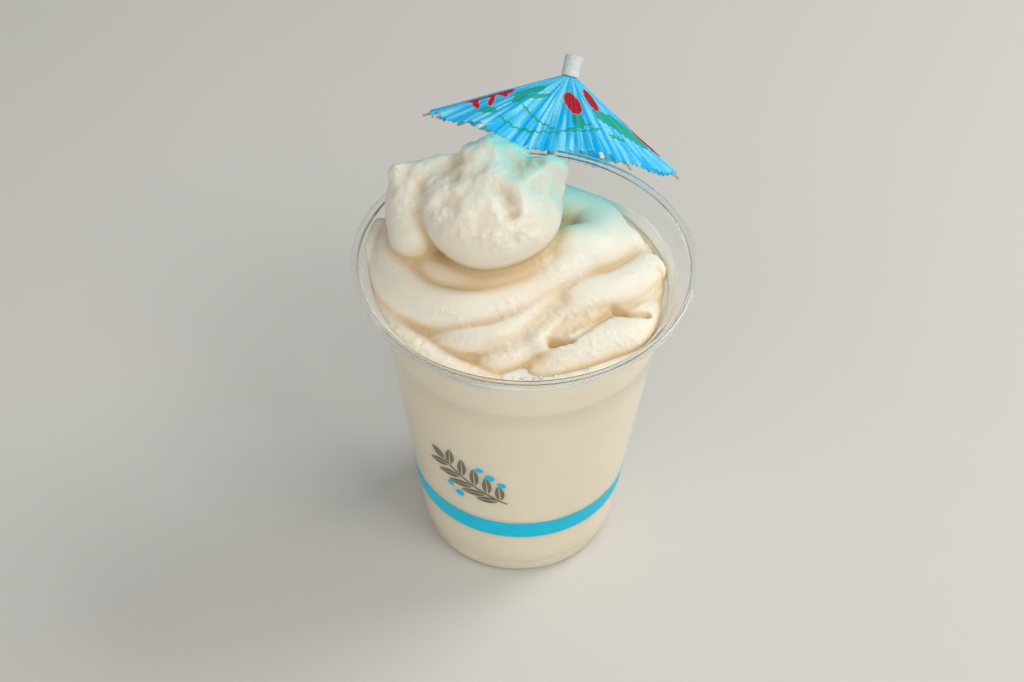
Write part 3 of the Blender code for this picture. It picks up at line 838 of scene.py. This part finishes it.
def build_film(level):
    """The film of drink on the wall, thinner and more ragged towards its top, as one closed tube."""
    low = level - 0.6 * MM
    sides = CUP_SIDES * 2
    shape = bmesh.new()
    outside = []
    inside = []
    for t in steps(0.0, 1.0, 12):
        outer = []
        inner = []
        for k in range(sides):
            turn = math.pi * k / CUP_SIDES
            z = low + t * (film_top(turn) - low)
            radius = inside_radius(z)
            ragged = noise.noise(Vector((math.cos(turn) * 9, math.sin(turn) * 9, z * 400)))
            thick = (0.10 + 0.30 * (1 - t) ** 1.5 + 0.06 * ragged) * MM
            outer.append(shape.verts.new((radius + 0.12 * MM, turn, z)))
            inner.append(shape.verts.new((radius - thick, turn, z)))
        outside.append(outer)
        inside.append(inner)
    rings = outside + inside[::-1]
    for ring in rings:
        for vert in ring:
            radius, turn, z = vert.co
            vert.co = (radius * math.cos(turn), radius * math.sin(turn), z)
    for here, there in zip(rings, rings[1:] + rings[:1]):
        join_rings(shape, here, there)
    return finish_mesh("film_on_wall", shape, 60)


def build_bubbles(level):
    chance = random.Random(5)
    shape = bmesh.new()
    for _ in range(BUBBLES):
        turn = math.radians(chance.gauss(*BUBBLE_TURN))
        reach = chance.uniform(*BUBBLE_REACH) * MM
        radius = chance.choice(BUBBLE_RADII) * MM
        centre = Vector((reach * math.cos(turn), reach * math.sin(turn), level + radius * 0.1))
        place = Matrix.Translation(centre) @ Matrix.Diagonal((radius, radius, radius * 0.6, 1.0))
        bmesh.ops.create_icosphere(shape, subdivisions=2, radius=1.0, matrix=place)
    return finish_mesh("bubbles", shape, 60)


def remeshed(name, shape, voxel, smoothing):
    """A new mesh: the bmesh's overlapping bodies fused into one and softened."""
    raw = finish_mesh(name, shape)
    fuse = raw.modifiers.new("Fuse", "REMESH")
    fuse.mode = "VOXEL"
    fuse.voxel_size = voxel
    soften = raw.modifiers.new("Soften", "SMOOTH")
    soften.factor = 0.5
    soften.iterations = smoothing
    seen = raw.evaluated_get(bpy.context.evaluated_depsgraph_get())
    mesh = bpy.data.meshes.new_from_object(seen)
    bpy.data.objects.remove(raw)
    return mesh


def smooth_path(points, count):
    """Points along a Catmull-Rom curve through the given ones."""
    ends = [points[0]] + list(points) + [points[-1]]
    result = []
    for a, b, c, d in zip(ends, ends[1:], ends[2:], ends[3:]):
        for k in range(count):
            t = k / count
            blend = (
                -0.5 * t + t * t - 0.5 * t ** 3,
                1 - 2.5 * t * t + 1.5 * t ** 3,
                0.5 * t + 2 * t * t - 1.5 * t ** 3,
                -0.5 * t * t + 0.5 * t ** 3,
            )
            result.append([sum(w * p[i] for w, p in zip(blend, (a, b, c, d))) for i in range(4)])
    return result + [list(points[-1])]


def add_ball(shape, centre, size):
    place = Matrix.Translation(Vector(centre) * MM) @ Matrix.Diagonal((*(Vector(size) * MM), 1.0))
    bmesh.ops.create_icosphere(shape, subdivisions=3, radius=1.0, matrix=place)


def cream_balls():
    """Every ball of the swirl's ropes and lumps, as its centre and radii in millimetres."""
    balls = [MOUND]
    for path in COILS.values():
        balls += [((x, y, z), (radius, radius, radius)) for x, y, z, radius in smooth_path(path, 9)]
    lumps = KNOBS + FILLING + smooth_path(RIM_CREAM, 9) + [FRONT_LUMP]
    return balls + [((x, y, z), (radius, radius, radius)) for x, y, z, radius in lumps]


def cream_shape():
    shape = bmesh.new()
    for centre, size in cream_balls():
        add_ball(shape, centre, size)
    return shape


def fullness(points, reach, level):
    """The share of cream within a reach in mm round each point: half on a flat face, more in a fold."""
    low = points.min(axis=0) / MM - 3 * reach
    counts = np.ceil(points.max(axis=0) / MM + 3 * reach - low).astype(int) + 2
    lines = [low[i] + np.arange(counts[i]) for i in range(3)]
    share = np.zeros(counts)
    share[:, :, lines[2] < level / MM] = 1.0
    for centre, size in cream_balls():
        spans = []
        for i in range(3):
            first = max(0, math.floor(centre[i] - size[i] - low[i]))
            spans.append(slice(first, max(0, math.ceil(centre[i] + size[i] - low[i])) + 1))
        x, y, z = (((lines[i][spans[i]] - centre[i]) / size[i]) ** 2 for i in range(3))
        inside = x[:, None, None] + y[None, :, None] + z[None, None, :] < 1.0
        share[tuple(spans)] = np.maximum(share[tuple(spans)], inside)
    weights = np.exp(-np.arange(-2 * reach, 2 * reach + 1) ** 2 / (2.0 * reach ** 2))
    for axis in range(3):
        share = np.apply_along_axis(np.convolve, axis, share, weights / weights.sum(), "same")
    spot = points / MM - low
    corner = np.floor(spot).astype(int)
    part = spot - corner
    total = np.zeros(len(points))
    for side in np.ndindex(2, 2, 2):
        weight = np.prod(np.where(side, part, 1 - part), axis=1)
        total += weight * share[tuple((corner + side).T)]
    return total


def step_up(values, low, high):
    share = np.clip((values - low) / (high - low), 0.0, 1.0)
    return share * share * (3 - 2 * share)


def noise_values(points, size, octaves, seed):
    """Fractal noise about 0 at each point, with features of a size in metres."""
    offset = Vector((seed * 3.7, seed * 1.3, seed * 2.1))
    return np.array([noise.fractal(Vector(p) / size + offset, 1.0, 2.0, octaves) for p in points])


def billow_values(points, size, seed):
    """Rounded bumps with sharp valleys between them, from 0 in the valleys up to about 1."""
    offset = Vector((seed * 2.9, seed * 4.1, seed * 1.7))
    return np.array([abs(noise.noise(Vector(p) / size + offset)) for p in points]) * 2.0


def mesh_arrays(mesh):
    points = np.empty(len(mesh.vertices) * 3)
    normals = np.empty(len(mesh.vertices) * 3)
    mesh.vertices.foreach_get("co", points)
    mesh.vertices.foreach_get("normal", normals)
    return points.reshape(-1, 3), normals.reshape(-1, 3)


def melt_crown(mesh, rounds):
    """Melts the lumps of the torn top into each other by drawing each point towards its neighbours."""
    points, _ = mesh_arrays(mesh)
    pairs = np.empty(len(mesh.edges) * 2, dtype=int)
    mesh.edges.foreach_get("vertices", pairs)
    first, second = pairs.reshape(-1, 2).T
    total = len(points)
    neighbours = np.bincount(pairs, minlength=total)
    pull = 0.6 * step_up(points[:, 2], 110 * MM, 117 * MM) / neighbours
    for _ in range(rounds):
        drawn = np.empty_like(points)
        for axis in range(3):
            here = points[:, axis]
            drawn[:, axis] = np.bincount(first, here[second], total)
            drawn[:, axis] += np.bincount(second, here[first], total)
        points += pull[:, None] * (drawn - neighbours[:, None] * points)
    mesh.vertices.foreach_set("co", points.ravel())
    mesh.update()


def press(points, spots, way):
    """Presses a dent into the points at each spot (x, y, z, radius, depth); returns how deep each went."""
    way = np.array(way.normalized())
    depths = np.zeros(len(points))
    for x, y, z, radius, depth in spots:
        away = points - np.array((x, y, z)) * MM
        along = away @ way
        across = np.linalg.norm(away - along[:, None] * way, axis=1)
        near = np.exp(-across ** 2 / (2 * (0.75 * radius * MM) ** 2)) * (np.abs(along) < PRESS_REACH)
        depths = np.maximum(depths, depth * MM * near)
    points += depths[:, None] * way
    return depths


def crease_spots():
    spots = []
    for width, depth, line in CREASES:
        for x, y, z, _ in smooth_path([(*point, width) for point in line], 8):
            spots.append((x, y, z, width, depth))
    return spots


def fold_share(points, level):
    """How deep each point lies between folds of cream: 0 on open faces, 1 or more in the deepest."""
    fine = fullness(points, 2, level)
    wide = fullness(points, 5, level)
    return 0.6 * np.clip((fine - 0.52) / 0.2, 0, 1) + 0.9 * np.clip((wide - 0.475) / 0.22, 0, 1)


def crown_share(points, normals):
    """1 on the upper faces of the torn top and 0 elsewhere."""
    return step_up(points[:, 2], 109 * MM, 118 * MM) * step_up(normals[:, 2], -0.3, 0.4)


def froth_share(points, normals, crown):
    """How frothy the cream is: most on the crown and low down at the front and the right."""
    upward = step_up(normals[:, 2], 0.0, 0.7)
    low = 1 - step_up(points[:, 2], 97 * MM, 101 * MM)
    front = low * step_up(-points[:, 1], 12 * MM, 22 * MM) * upward
    right = low * step_up(points[:, 0], 26 * MM, 34 * MM) * upward
    patches = step_up(noise_values(points, 11 * MM, 2, 3), 0.0, 0.4)
    share = 0.1 + 0.45 * crown + 0.5 * crown * patches + 0.7 * patches * upward
    return np.clip(share + 0.75 * np.maximum(front, right), 0, 1)


def froth_up(mesh, settings):
    """Pushes dents and froth into the cream; notes where it is frothy and where shade is painted in it."""
    points, _ = mesh_arrays(mesh)
    folds = fold_share(points, settings.level)
    dents = press(points, DENTS, DENT_WAY) + press(points, crease_spots(), CREASE_WAY)
    mesh.vertices.foreach_set("co", points.ravel())
    mesh.update()
    points, normals = mesh_arrays(mesh)
    crown = crown_share(points, normals)
    froth = froth_share(points, normals, crown)
    soft = noise_values(points, SOFT_SIZE, 2, 5)
    bumps = billow_values(points, BUMP_SIZE, 9) - 0.5
    grains = billow_values(points, GRAIN_SIZE, 13) - 0.5
    push = settings.crown_froth * crown * soft + settings.froth * froth * (0.9 * bumps + 0.7 * grains)
    points = points + normals * push[:, None]
    mesh.vertices.foreach_set("co", points.ravel())
    # Painted shade: darker cream in the folds and the pressed dents and creases, less on the crown's top
    hollow = np.clip((folds - 0.25 * crown * soft) * (1 - 0.65 * crown) + dents / DENT_SHADE, 0, 1)
    for name, values in (("froth", froth), ("hollow", hollow)):
        mesh.attributes.new(name, "FLOAT", "POINT").data.foreach_set("value", values)


def keep_in_cup(mesh, settings):
    """Presses the cream against the cup's inside and cuts it off just under the drink's surface."""
    points, _ = mesh_arrays(mesh)
    floor = settings.level - 1.0 * MM
    points[:, 2] = np.maximum(points[:, 2], floor)
    reach = np.hypot(points[:, 0], points[:, 1])
    heights = np.linspace(floor, FLARE_TOP_Z, 60)
    limit = np.interp(points[:, 2], heights, [inside_radius(z) + 0.15 * MM for z in heights])
    limit = np.where(points[:, 2] > FLARE_TOP_Z, BEAD_CENTRE - BEAD - 0.1 * MM, limit)
    squeeze = np.where(reach > limit, limit / np.maximum(reach, 1e-9), 1.0)
    points[:, :2] *= squeeze[:, None]
    mesh.vertices.foreach_set("co", points.ravel())


def umbrella_frame():
    axis = LEAN.normalized()
    across = axis.cross(Vector((1.0, 0.0, 0.0))).normalized()
    side = across.cross(axis)
    return Matrix.Translation(PEAK) @ Matrix((side, across, axis)).transposed().to_4x4()


def paper_edge(turn):
    """The paper's reach, straighter and lower between two ribs, as a radius and a sag."""
    turn = turn % (2 * math.pi)
    for k, (degrees, sag) in enumerate(RIBS):
        low = math.radians(degrees)
        high = math.radians(RIBS[(k + 1) % len(RIBS)][0] + (360 if k == len(RIBS) - 1 else 0))
        inside = turn if turn >= low else turn + 2 * math.pi
        if low <= inside < high:
            half = (high - low) / 2
            share = (inside - low) / (high - low)
            straight = math.cos(half) / math.cos((2 * share - 1) * half)
            radius = PAPER_RADIUS * (1 - STRAIGHT_EDGE + STRAIGHT_EDGE * straight)
            return radius, sag * math.sin(math.pi * share ** SAG_SKEW) ** SAG_CURVE


def fold_chances(folds):
    """Each fold's shift round the paper, its height and how far its end is torn, by chance."""
    chance = random.Random(11)
    shifts = [chance.uniform(-0.28, 0.28) for _ in range(folds)]
    heights = [chance.uniform(0.45, 1.05) for _ in range(folds)]
    tears = [chance.uniform(-0.35, 0.2) * MM for _ in range(folds)]
    return shifts, heights, tears


def paper_point(k, share, chances):
    """A point of the paper: its spot seen from above, its height, and its place among the folds."""
    shifts, heights, tears = chances
    folds = len(shifts)
    fold, part = divmod(k, FACETS)
    nearby = (fold + 1) % folds
    t = part / FACETS
    place = fold + t + shifts[fold] * (1 - t) + shifts[nearby] * t
    turn = 2 * math.pi * place / folds
    edge, sag = paper_edge(turn)
    edge += (tears[fold] * (1 - t) + tears[nearby] * t) * share ** 6
    side = 1 if fold % 2 else -1
    crest = side * (heights[fold] * (1 - t) - heights[nearby] * t)
    radius = edge * share
    spot = Vector((radius * math.cos(turn), radius * math.sin(turn), 0.0))
    crumple = noise.noise(spot / (5 * MM)) * 0.3 * MM * share
    height = -PAPER_DROP * share - sag * share ** 2 + PLEAT * crest * share + crumple
    return spot, height, (place, radius / MM, crest)


def build_canopy(settings):
    """The pleated paper as one thin sheet with two sides, its folds a little uneven."""
    folds = settings.pleats * 2
    chances = fold_chances(folds)
    shape = bmesh.new()
    flat = shape.verts.layers.float_vector.new("print_place")
    folded = shape.verts.layers.float_vector.new("fold_place")
    sheets = []
    for drop in (0.0, -PAPER_THICKNESS):
        rings = []
        for share in [PAPER_HOLE / PAPER_RADIUS] + steps(0.1, 1.0, 30):
            ring = []
            for k in range(folds * FACETS):
                spot, height, place = paper_point(k, share, chances)
                vert = shape.verts.new((spot.x, spot.y, height + drop))
                vert[flat] = spot / MM
                vert[folded] = Vector(place)
                ring.append(vert)
            rings.append(ring)
        sheets.append(rings)
    top, under = sheets
    rings = top + under[::-1]
    for here, there in zip(rings, rings[1:] + rings[:1]):
        join_rings(shape, here, there)
    canopy = finish_mesh("paper_canopy", shape, 12)
    canopy.data.transform(umbrella_frame())
    return canopy


def build_cap():
    """The rolled-paper tube on the stick's tip, wider at its open top, with the seam of its last wrap."""
    outline = []
    for t in steps(0.0, 1.0, 12):
        radius = CAP_FOOT_RADIUS + (CAP_RADIUS - CAP_FOOT_RADIUS) * t
        if t < 0.2:
            radius += 0.09 * MM
        outline.append((radius, CAP_BOTTOM + t * (CAP_TOP - CAP_BOTTOM)))
    outline.append((CAP_RADIUS * 0.96, CAP_TOP + 0.05 * MM))
    for layer in range(5):
        radius = CAP_RADIUS * (0.9 - 0.14 * layer)
        outline.append((radius, CAP_TOP))
        outline.append((radius - 0.05 * MM, CAP_TOP - 0.22 * MM))
        outline.append((radius - 0.13 * MM, CAP_TOP - 0.02 * MM))
    outline += [(0.55 * MM, CAP_TOP - 0.1 * MM), (0.5 * MM, CAP_TOP - 0.6 * MM), (0.0, CAP_TOP - 0.65 * MM)]
    hole = STICK_RADIUS + 0.3 * MM
    outline = [(0.0, STICK_TOP), (hole, STICK_TOP), (hole, CAP_BOTTOM)] + outline
    cap = turned("paper_cap", outline, 56, 50)
    for vert in cap.data.vertices:
        if vert.co.xy.length > 1.5 * MM:
            turn = math.atan2(vert.co.y, vert.co.x)
            bump = noise.noise(Vector((math.cos(turn) * 1.5, math.sin(turn) * 1.5, vert.co.z * 260)))
            wrap = 0.12 * MM * ((turn / math.pi + 1) / 2)
            vert.co.xy *= 1 + 0.03 * bump + wrap / vert.co.xy.length
    cap.data.transform(umbrella_frame())
    return cap


def build_ribs():
    """The bamboo ribs close under the paper, as one mesh, each a little bent and painted at its tip."""
    chance = random.Random(3)
    slope = PAPER_DROP / PAPER_RADIUS
    shape = bmesh.new()
    paint = shape.verts.layers.float.new("paint")
    for k, (degrees, _) in enumerate(RIBS):
        turn = math.radians(degrees)
        out = Vector((math.cos(turn), math.sin(turn), 0.0))
        across = Vector((-out.y, out.x, 0.0))
        reach = RIB_END + chance.uniform(-0.3, 0.3) * MM
        bend = chance.uniform(-0.4, 0.4) * MM
        rings = []
        for t in steps(0.0, 1.0, 24):
            far = RIB_START + t * (reach - RIB_START)
            middle = out * far + across * bend * t * t
            middle.z = -far * slope - RIB_UNDER_PAPER + 0.35 * MM * t ** 6
            width = (0.68 - 0.1 * t) * MM
            depth = (0.42 - 0.06 * t) * MM
            ring = []
            for i, j in RIB_SECTION:
                wobble = 1 + 0.06 * chance.uniform(-1, 1)
                vert = shape.verts.new(middle + across * i * width * wobble + Vector((0, 0, j * depth)))
                vert[paint] = TIP_PAINT[k] * min(1.0, max(0.0, (t - 0.88) / 0.03))
                ring.append(vert)
            rings.append(ring)
        shape.faces.new(rings[0][::-1])
        shape.faces.new(rings[-1])
        for here, there in zip(rings, rings[1:]):
            join_rings(shape, here, there)
    ribs = finish_mesh("bamboo_ribs", shape, 30)
    ribs.data.transform(umbrella_frame())
    return ribs


class BATIDO_OT_stage(bpy.types.Operator):
    """Lay the floor, hang the lamps and set up the camera"""

    bl_idname = "batido.stage"
    bl_label = "Stage"

    def execute(self, context):
        settings = context.scene.batido_stage
        scene = context.scene
        scene.view_settings.view_transform = "Standard"
        world = bpy.data.worlds.new("soft studio")
        scene.world = world
        world.use_nodes = True
        sky = world.node_tree.nodes["Background"]
        sky.inputs["Color"].default_value = (*SKY, 1.0)
        sky.inputs["Strength"].default_value = settings.fill
        shape = bmesh.new()
        bmesh.ops.create_grid(shape, x_segments=1, y_segments=1, size=FLOOR_HALF)
        floor = finish_mesh("floor", shape)
        floor.data.materials.append(floor_finish(settings))
        for name, (place, size) in LAMPS.items():
            self.lamp(name, getattr(settings, name), place, size)
        self.camera(scene, settings)
        return {"FINISHED"}

    def lamp(self, name, power, place, size):
        data = bpy.data.lights.new(name, "AREA")
        data.energy = power
        data.size = size
        obj = bpy.data.objects.new(name, data)
        obj.location = place
        aim = LAMP_AIM - Vector(place)
        obj.rotation_euler = aim.to_track_quat("-Z", "Y").to_euler()
        bpy.context.scene.collection.objects.link(obj)

    def camera(self, scene, settings):
        pitch, yaw, roll = settings.camera_turn
        ahead = Vector((math.sin(yaw) * math.cos(pitch), math.cos(yaw) * math.cos(pitch), -math.sin(pitch)))
        right = Vector((math.cos(yaw), -math.sin(yaw), 0.0))
        up = right.cross(ahead)
        level = (right * math.cos(roll) + up * math.sin(roll), up * math.cos(roll) - right * math.sin(roll))
        data = bpy.data.cameras.new("camera")
        data.sensor_width = SENSOR_WIDTH
        data.lens = settings.lens
        data.clip_start = 0.01
        obj = bpy.data.objects.new("camera", data)
        turn = Matrix((*level, -ahead)).transposed().to_4x4()
        obj.matrix_world = Matrix.Translation(settings.camera_place) @ turn
        scene.collection.objects.link(obj)
        scene.camera = obj


class BATIDO_OT_cup(bpy.types.Operator):
    """Turn the clear cup with its rolled rim"""

    bl_idname = "batido.cup"
    bl_label = "Cup"

    def execute(self, context):
        settings = context.scene.batido_cup
        cup = turned("clear_cup", cup_outline(), CUP_SIDES)
        place_piece(cup, "clear_plastic", plastic_finish(settings), "cup")
        return {"FINISHED"}


class BATIDO_OT_band(bpy.types.Operator):
    """Print the coloured band round the cup"""

    bl_idname = "batido.band"
    bl_label = "Band"

    def execute(self, context):
        settings = context.scene.batido_cup
        low, high = settings.band_low, settings.band_high
        heights = steps(low, high, 4)
        outline = [(wall_radius(z) + INK_UNDERSIDE, z) for z in reversed(heights)]
        outline += [(wall_radius(z) + INK_TOP, z) for z in heights]
        band = turned("printed_band", outline, CUP_SIDES)
        place_piece(band, "clear_plastic", ink_finish("band ink", settings.ink))
        return {"FINISHED"}


class BATIDO_OT_sprig(bpy.types.Operator):
    """Print a plain leaf sprig with a few berries on the cup"""

    bl_idname = "batido.sprig"
    bl_label = "Leaf Sprig"

    def execute(self, context):
        settings = context.scene.batido_cup
        place_piece(build_leaves(settings), "clear_plastic", ink_finish("leaf ink", settings.leaf_ink))
        place_piece(build_berries(settings), "clear_plastic", ink_finish("berry ink", settings.ink))
        return {"FINISHED"}


class BATIDO_OT_drink(bpy.types.Operator):
    """Pour the milkshake up to its level"""

    bl_idname = "batido.drink"
    bl_label = "Drink"

    def execute(self, context):
        settings = context.scene.batido_cream
        drink = turned("milkshake", drink_outline(settings.level), CUP_SIDES)
        place_piece(drink, "milk_drink", drink_finish(settings), "drink")
        return {"FINISHED"}


class BATIDO_OT_film(bpy.types.Operator):
    """Leave a thin film of milkshake on the wall above the drink"""

    bl_idname = "batido.film"
    bl_label = "Film on the Wall"

    def execute(self, context):
        settings = context.scene.batido_cream
        film = build_film(settings.level)
        place_piece(film, "milk_drink", drink_finish(settings))
        return {"FINISHED"}


class BATIDO_OT_bubbles(bpy.types.Operator):
    """Float small bubbles on the open stretch of the drink"""

    bl_idname = "batido.bubbles"
    bl_label = "Bubbles"

    def execute(self, context):
        settings = context.scene.batido_cream
        bubbles = build_bubbles(settings.level)
        place_piece(bubbles, "milk_drink", drink_finish(settings))
        return {"FINISHED"}


class BATIDO_OT_swirl(bpy.types.Operator):
    """Pipe the whipped swirl and tear its frothy crown"""

    bl_idname = "batido.swirl"
    bl_label = "Swirl"

    def execute(self, context):
        settings = context.scene.batido_cream
        mesh = remeshed("whipped_swirl", cream_shape(), settings.voxel, SMOOTHING)
        melt_crown(mesh, MELTING)
        froth_up(mesh, settings)
        keep_in_cup(mesh, settings)
        mesh.shade_smooth()
        swirl = bpy.data.objects.new("whipped_swirl", mesh)
        context.scene.collection.objects.link(swirl)
        place_piece(swirl, "whipped_cream", cream_finish(settings), "swirl")
        return {"FINISHED"}


class BATIDO_OT_canopy(bpy.types.Operator):
    """Fold the printed paper canopy"""

    bl_idname = "batido.canopy"
    bl_label = "Canopy"

    def execute(self, context):
        settings = context.scene.batido_umbrella
        place_piece(build_canopy(settings), "blue_paper", paper_finish(settings), "canopy")
        return {"FINISHED"}


class BATIDO_OT_sticks(bpy.types.Operator):
    """Give the stick, ribs, struts and rings their wood and paper, and roll the cap"""

    bl_idname = "batido.sticks"
    bl_label = "Sticks and Cap"

    def execute(self, context):
        settings = context.scene.batido_umbrella
        wood = wood_finish(settings)
        white = rolled_finish()
        for name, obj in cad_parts.items():
            if name.startswith("strut_") or name in ("stick", "hub", "runner"):
                finish = white if name == "runner" else wood
                for slot in obj.material_slots:
                    slot.material = finish
                edge = obj.modifiers.new("Edge", "BEVEL")
                edge.width = 0.12 * MM
                edge.segments = 2
        place_piece(build_cap(), "rolled_paper", white, "cap")
        names = [f"rib_{k}" for k in range(1, len(RIBS) + 1)]
        place_piece(build_ribs(), "umbrella_wood", wood, *names)
        return {"FINISHED"}


class BATIDO_PT_panel(bpy.types.Panel):
    """Lists the steps that build the drink"""

    bl_label = "Batido"
    bl_space_type = "VIEW_3D"
    bl_region_type = "UI"
    bl_category = "Batido"

    def draw(self, context):
        for step in STEPS:
            self.layout.operator(step.bl_idname)


SETTINGS = (BatidoStage, BatidoCup, BatidoCream, BatidoUmbrella)
STEPS = (
    BATIDO_OT_stage, BATIDO_OT_cup, BATIDO_OT_band, BATIDO_OT_sprig, BATIDO_OT_drink, BATIDO_OT_film,
    BATIDO_OT_bubbles, BATIDO_OT_swirl, BATIDO_OT_canopy, BATIDO_OT_sticks,
)
CLASSES = SETTINGS + STEPS + (BATIDO_PT_panel,)


def register():
    for cls in CLASSES:
        bpy.utils.register_class(cls)
    bpy.types.Scene.batido_stage = PointerProperty(type=BatidoStage)
    bpy.types.Scene.batido_cup = PointerProperty(type=BatidoCup)
    bpy.types.Scene.batido_cream = PointerProperty(type=BatidoCream)
    bpy.types.Scene.batido_umbrella = PointerProperty(type=BatidoUmbrella)


def unregister():
    for name in ("batido_stage", "batido_cup", "batido_cream", "batido_umbrella"):
        delattr(bpy.types.Scene, name)
    for cls in reversed(CLASSES):
        bpy.utils.unregister_class(cls)


def main():
    register()
    bpy.ops.batido.stage()
    bpy.ops.batido.cup()
    bpy.ops.batido.band()
    bpy.ops.batido.sprig()
    bpy.ops.batido.drink()
    bpy.ops.batido.film()
    bpy.ops.batido.bubbles()
    bpy.ops.batido.swirl()
    bpy.ops.batido.canopy()
    bpy.ops.batido.sticks()


if __name__ == "__main__":
    main()
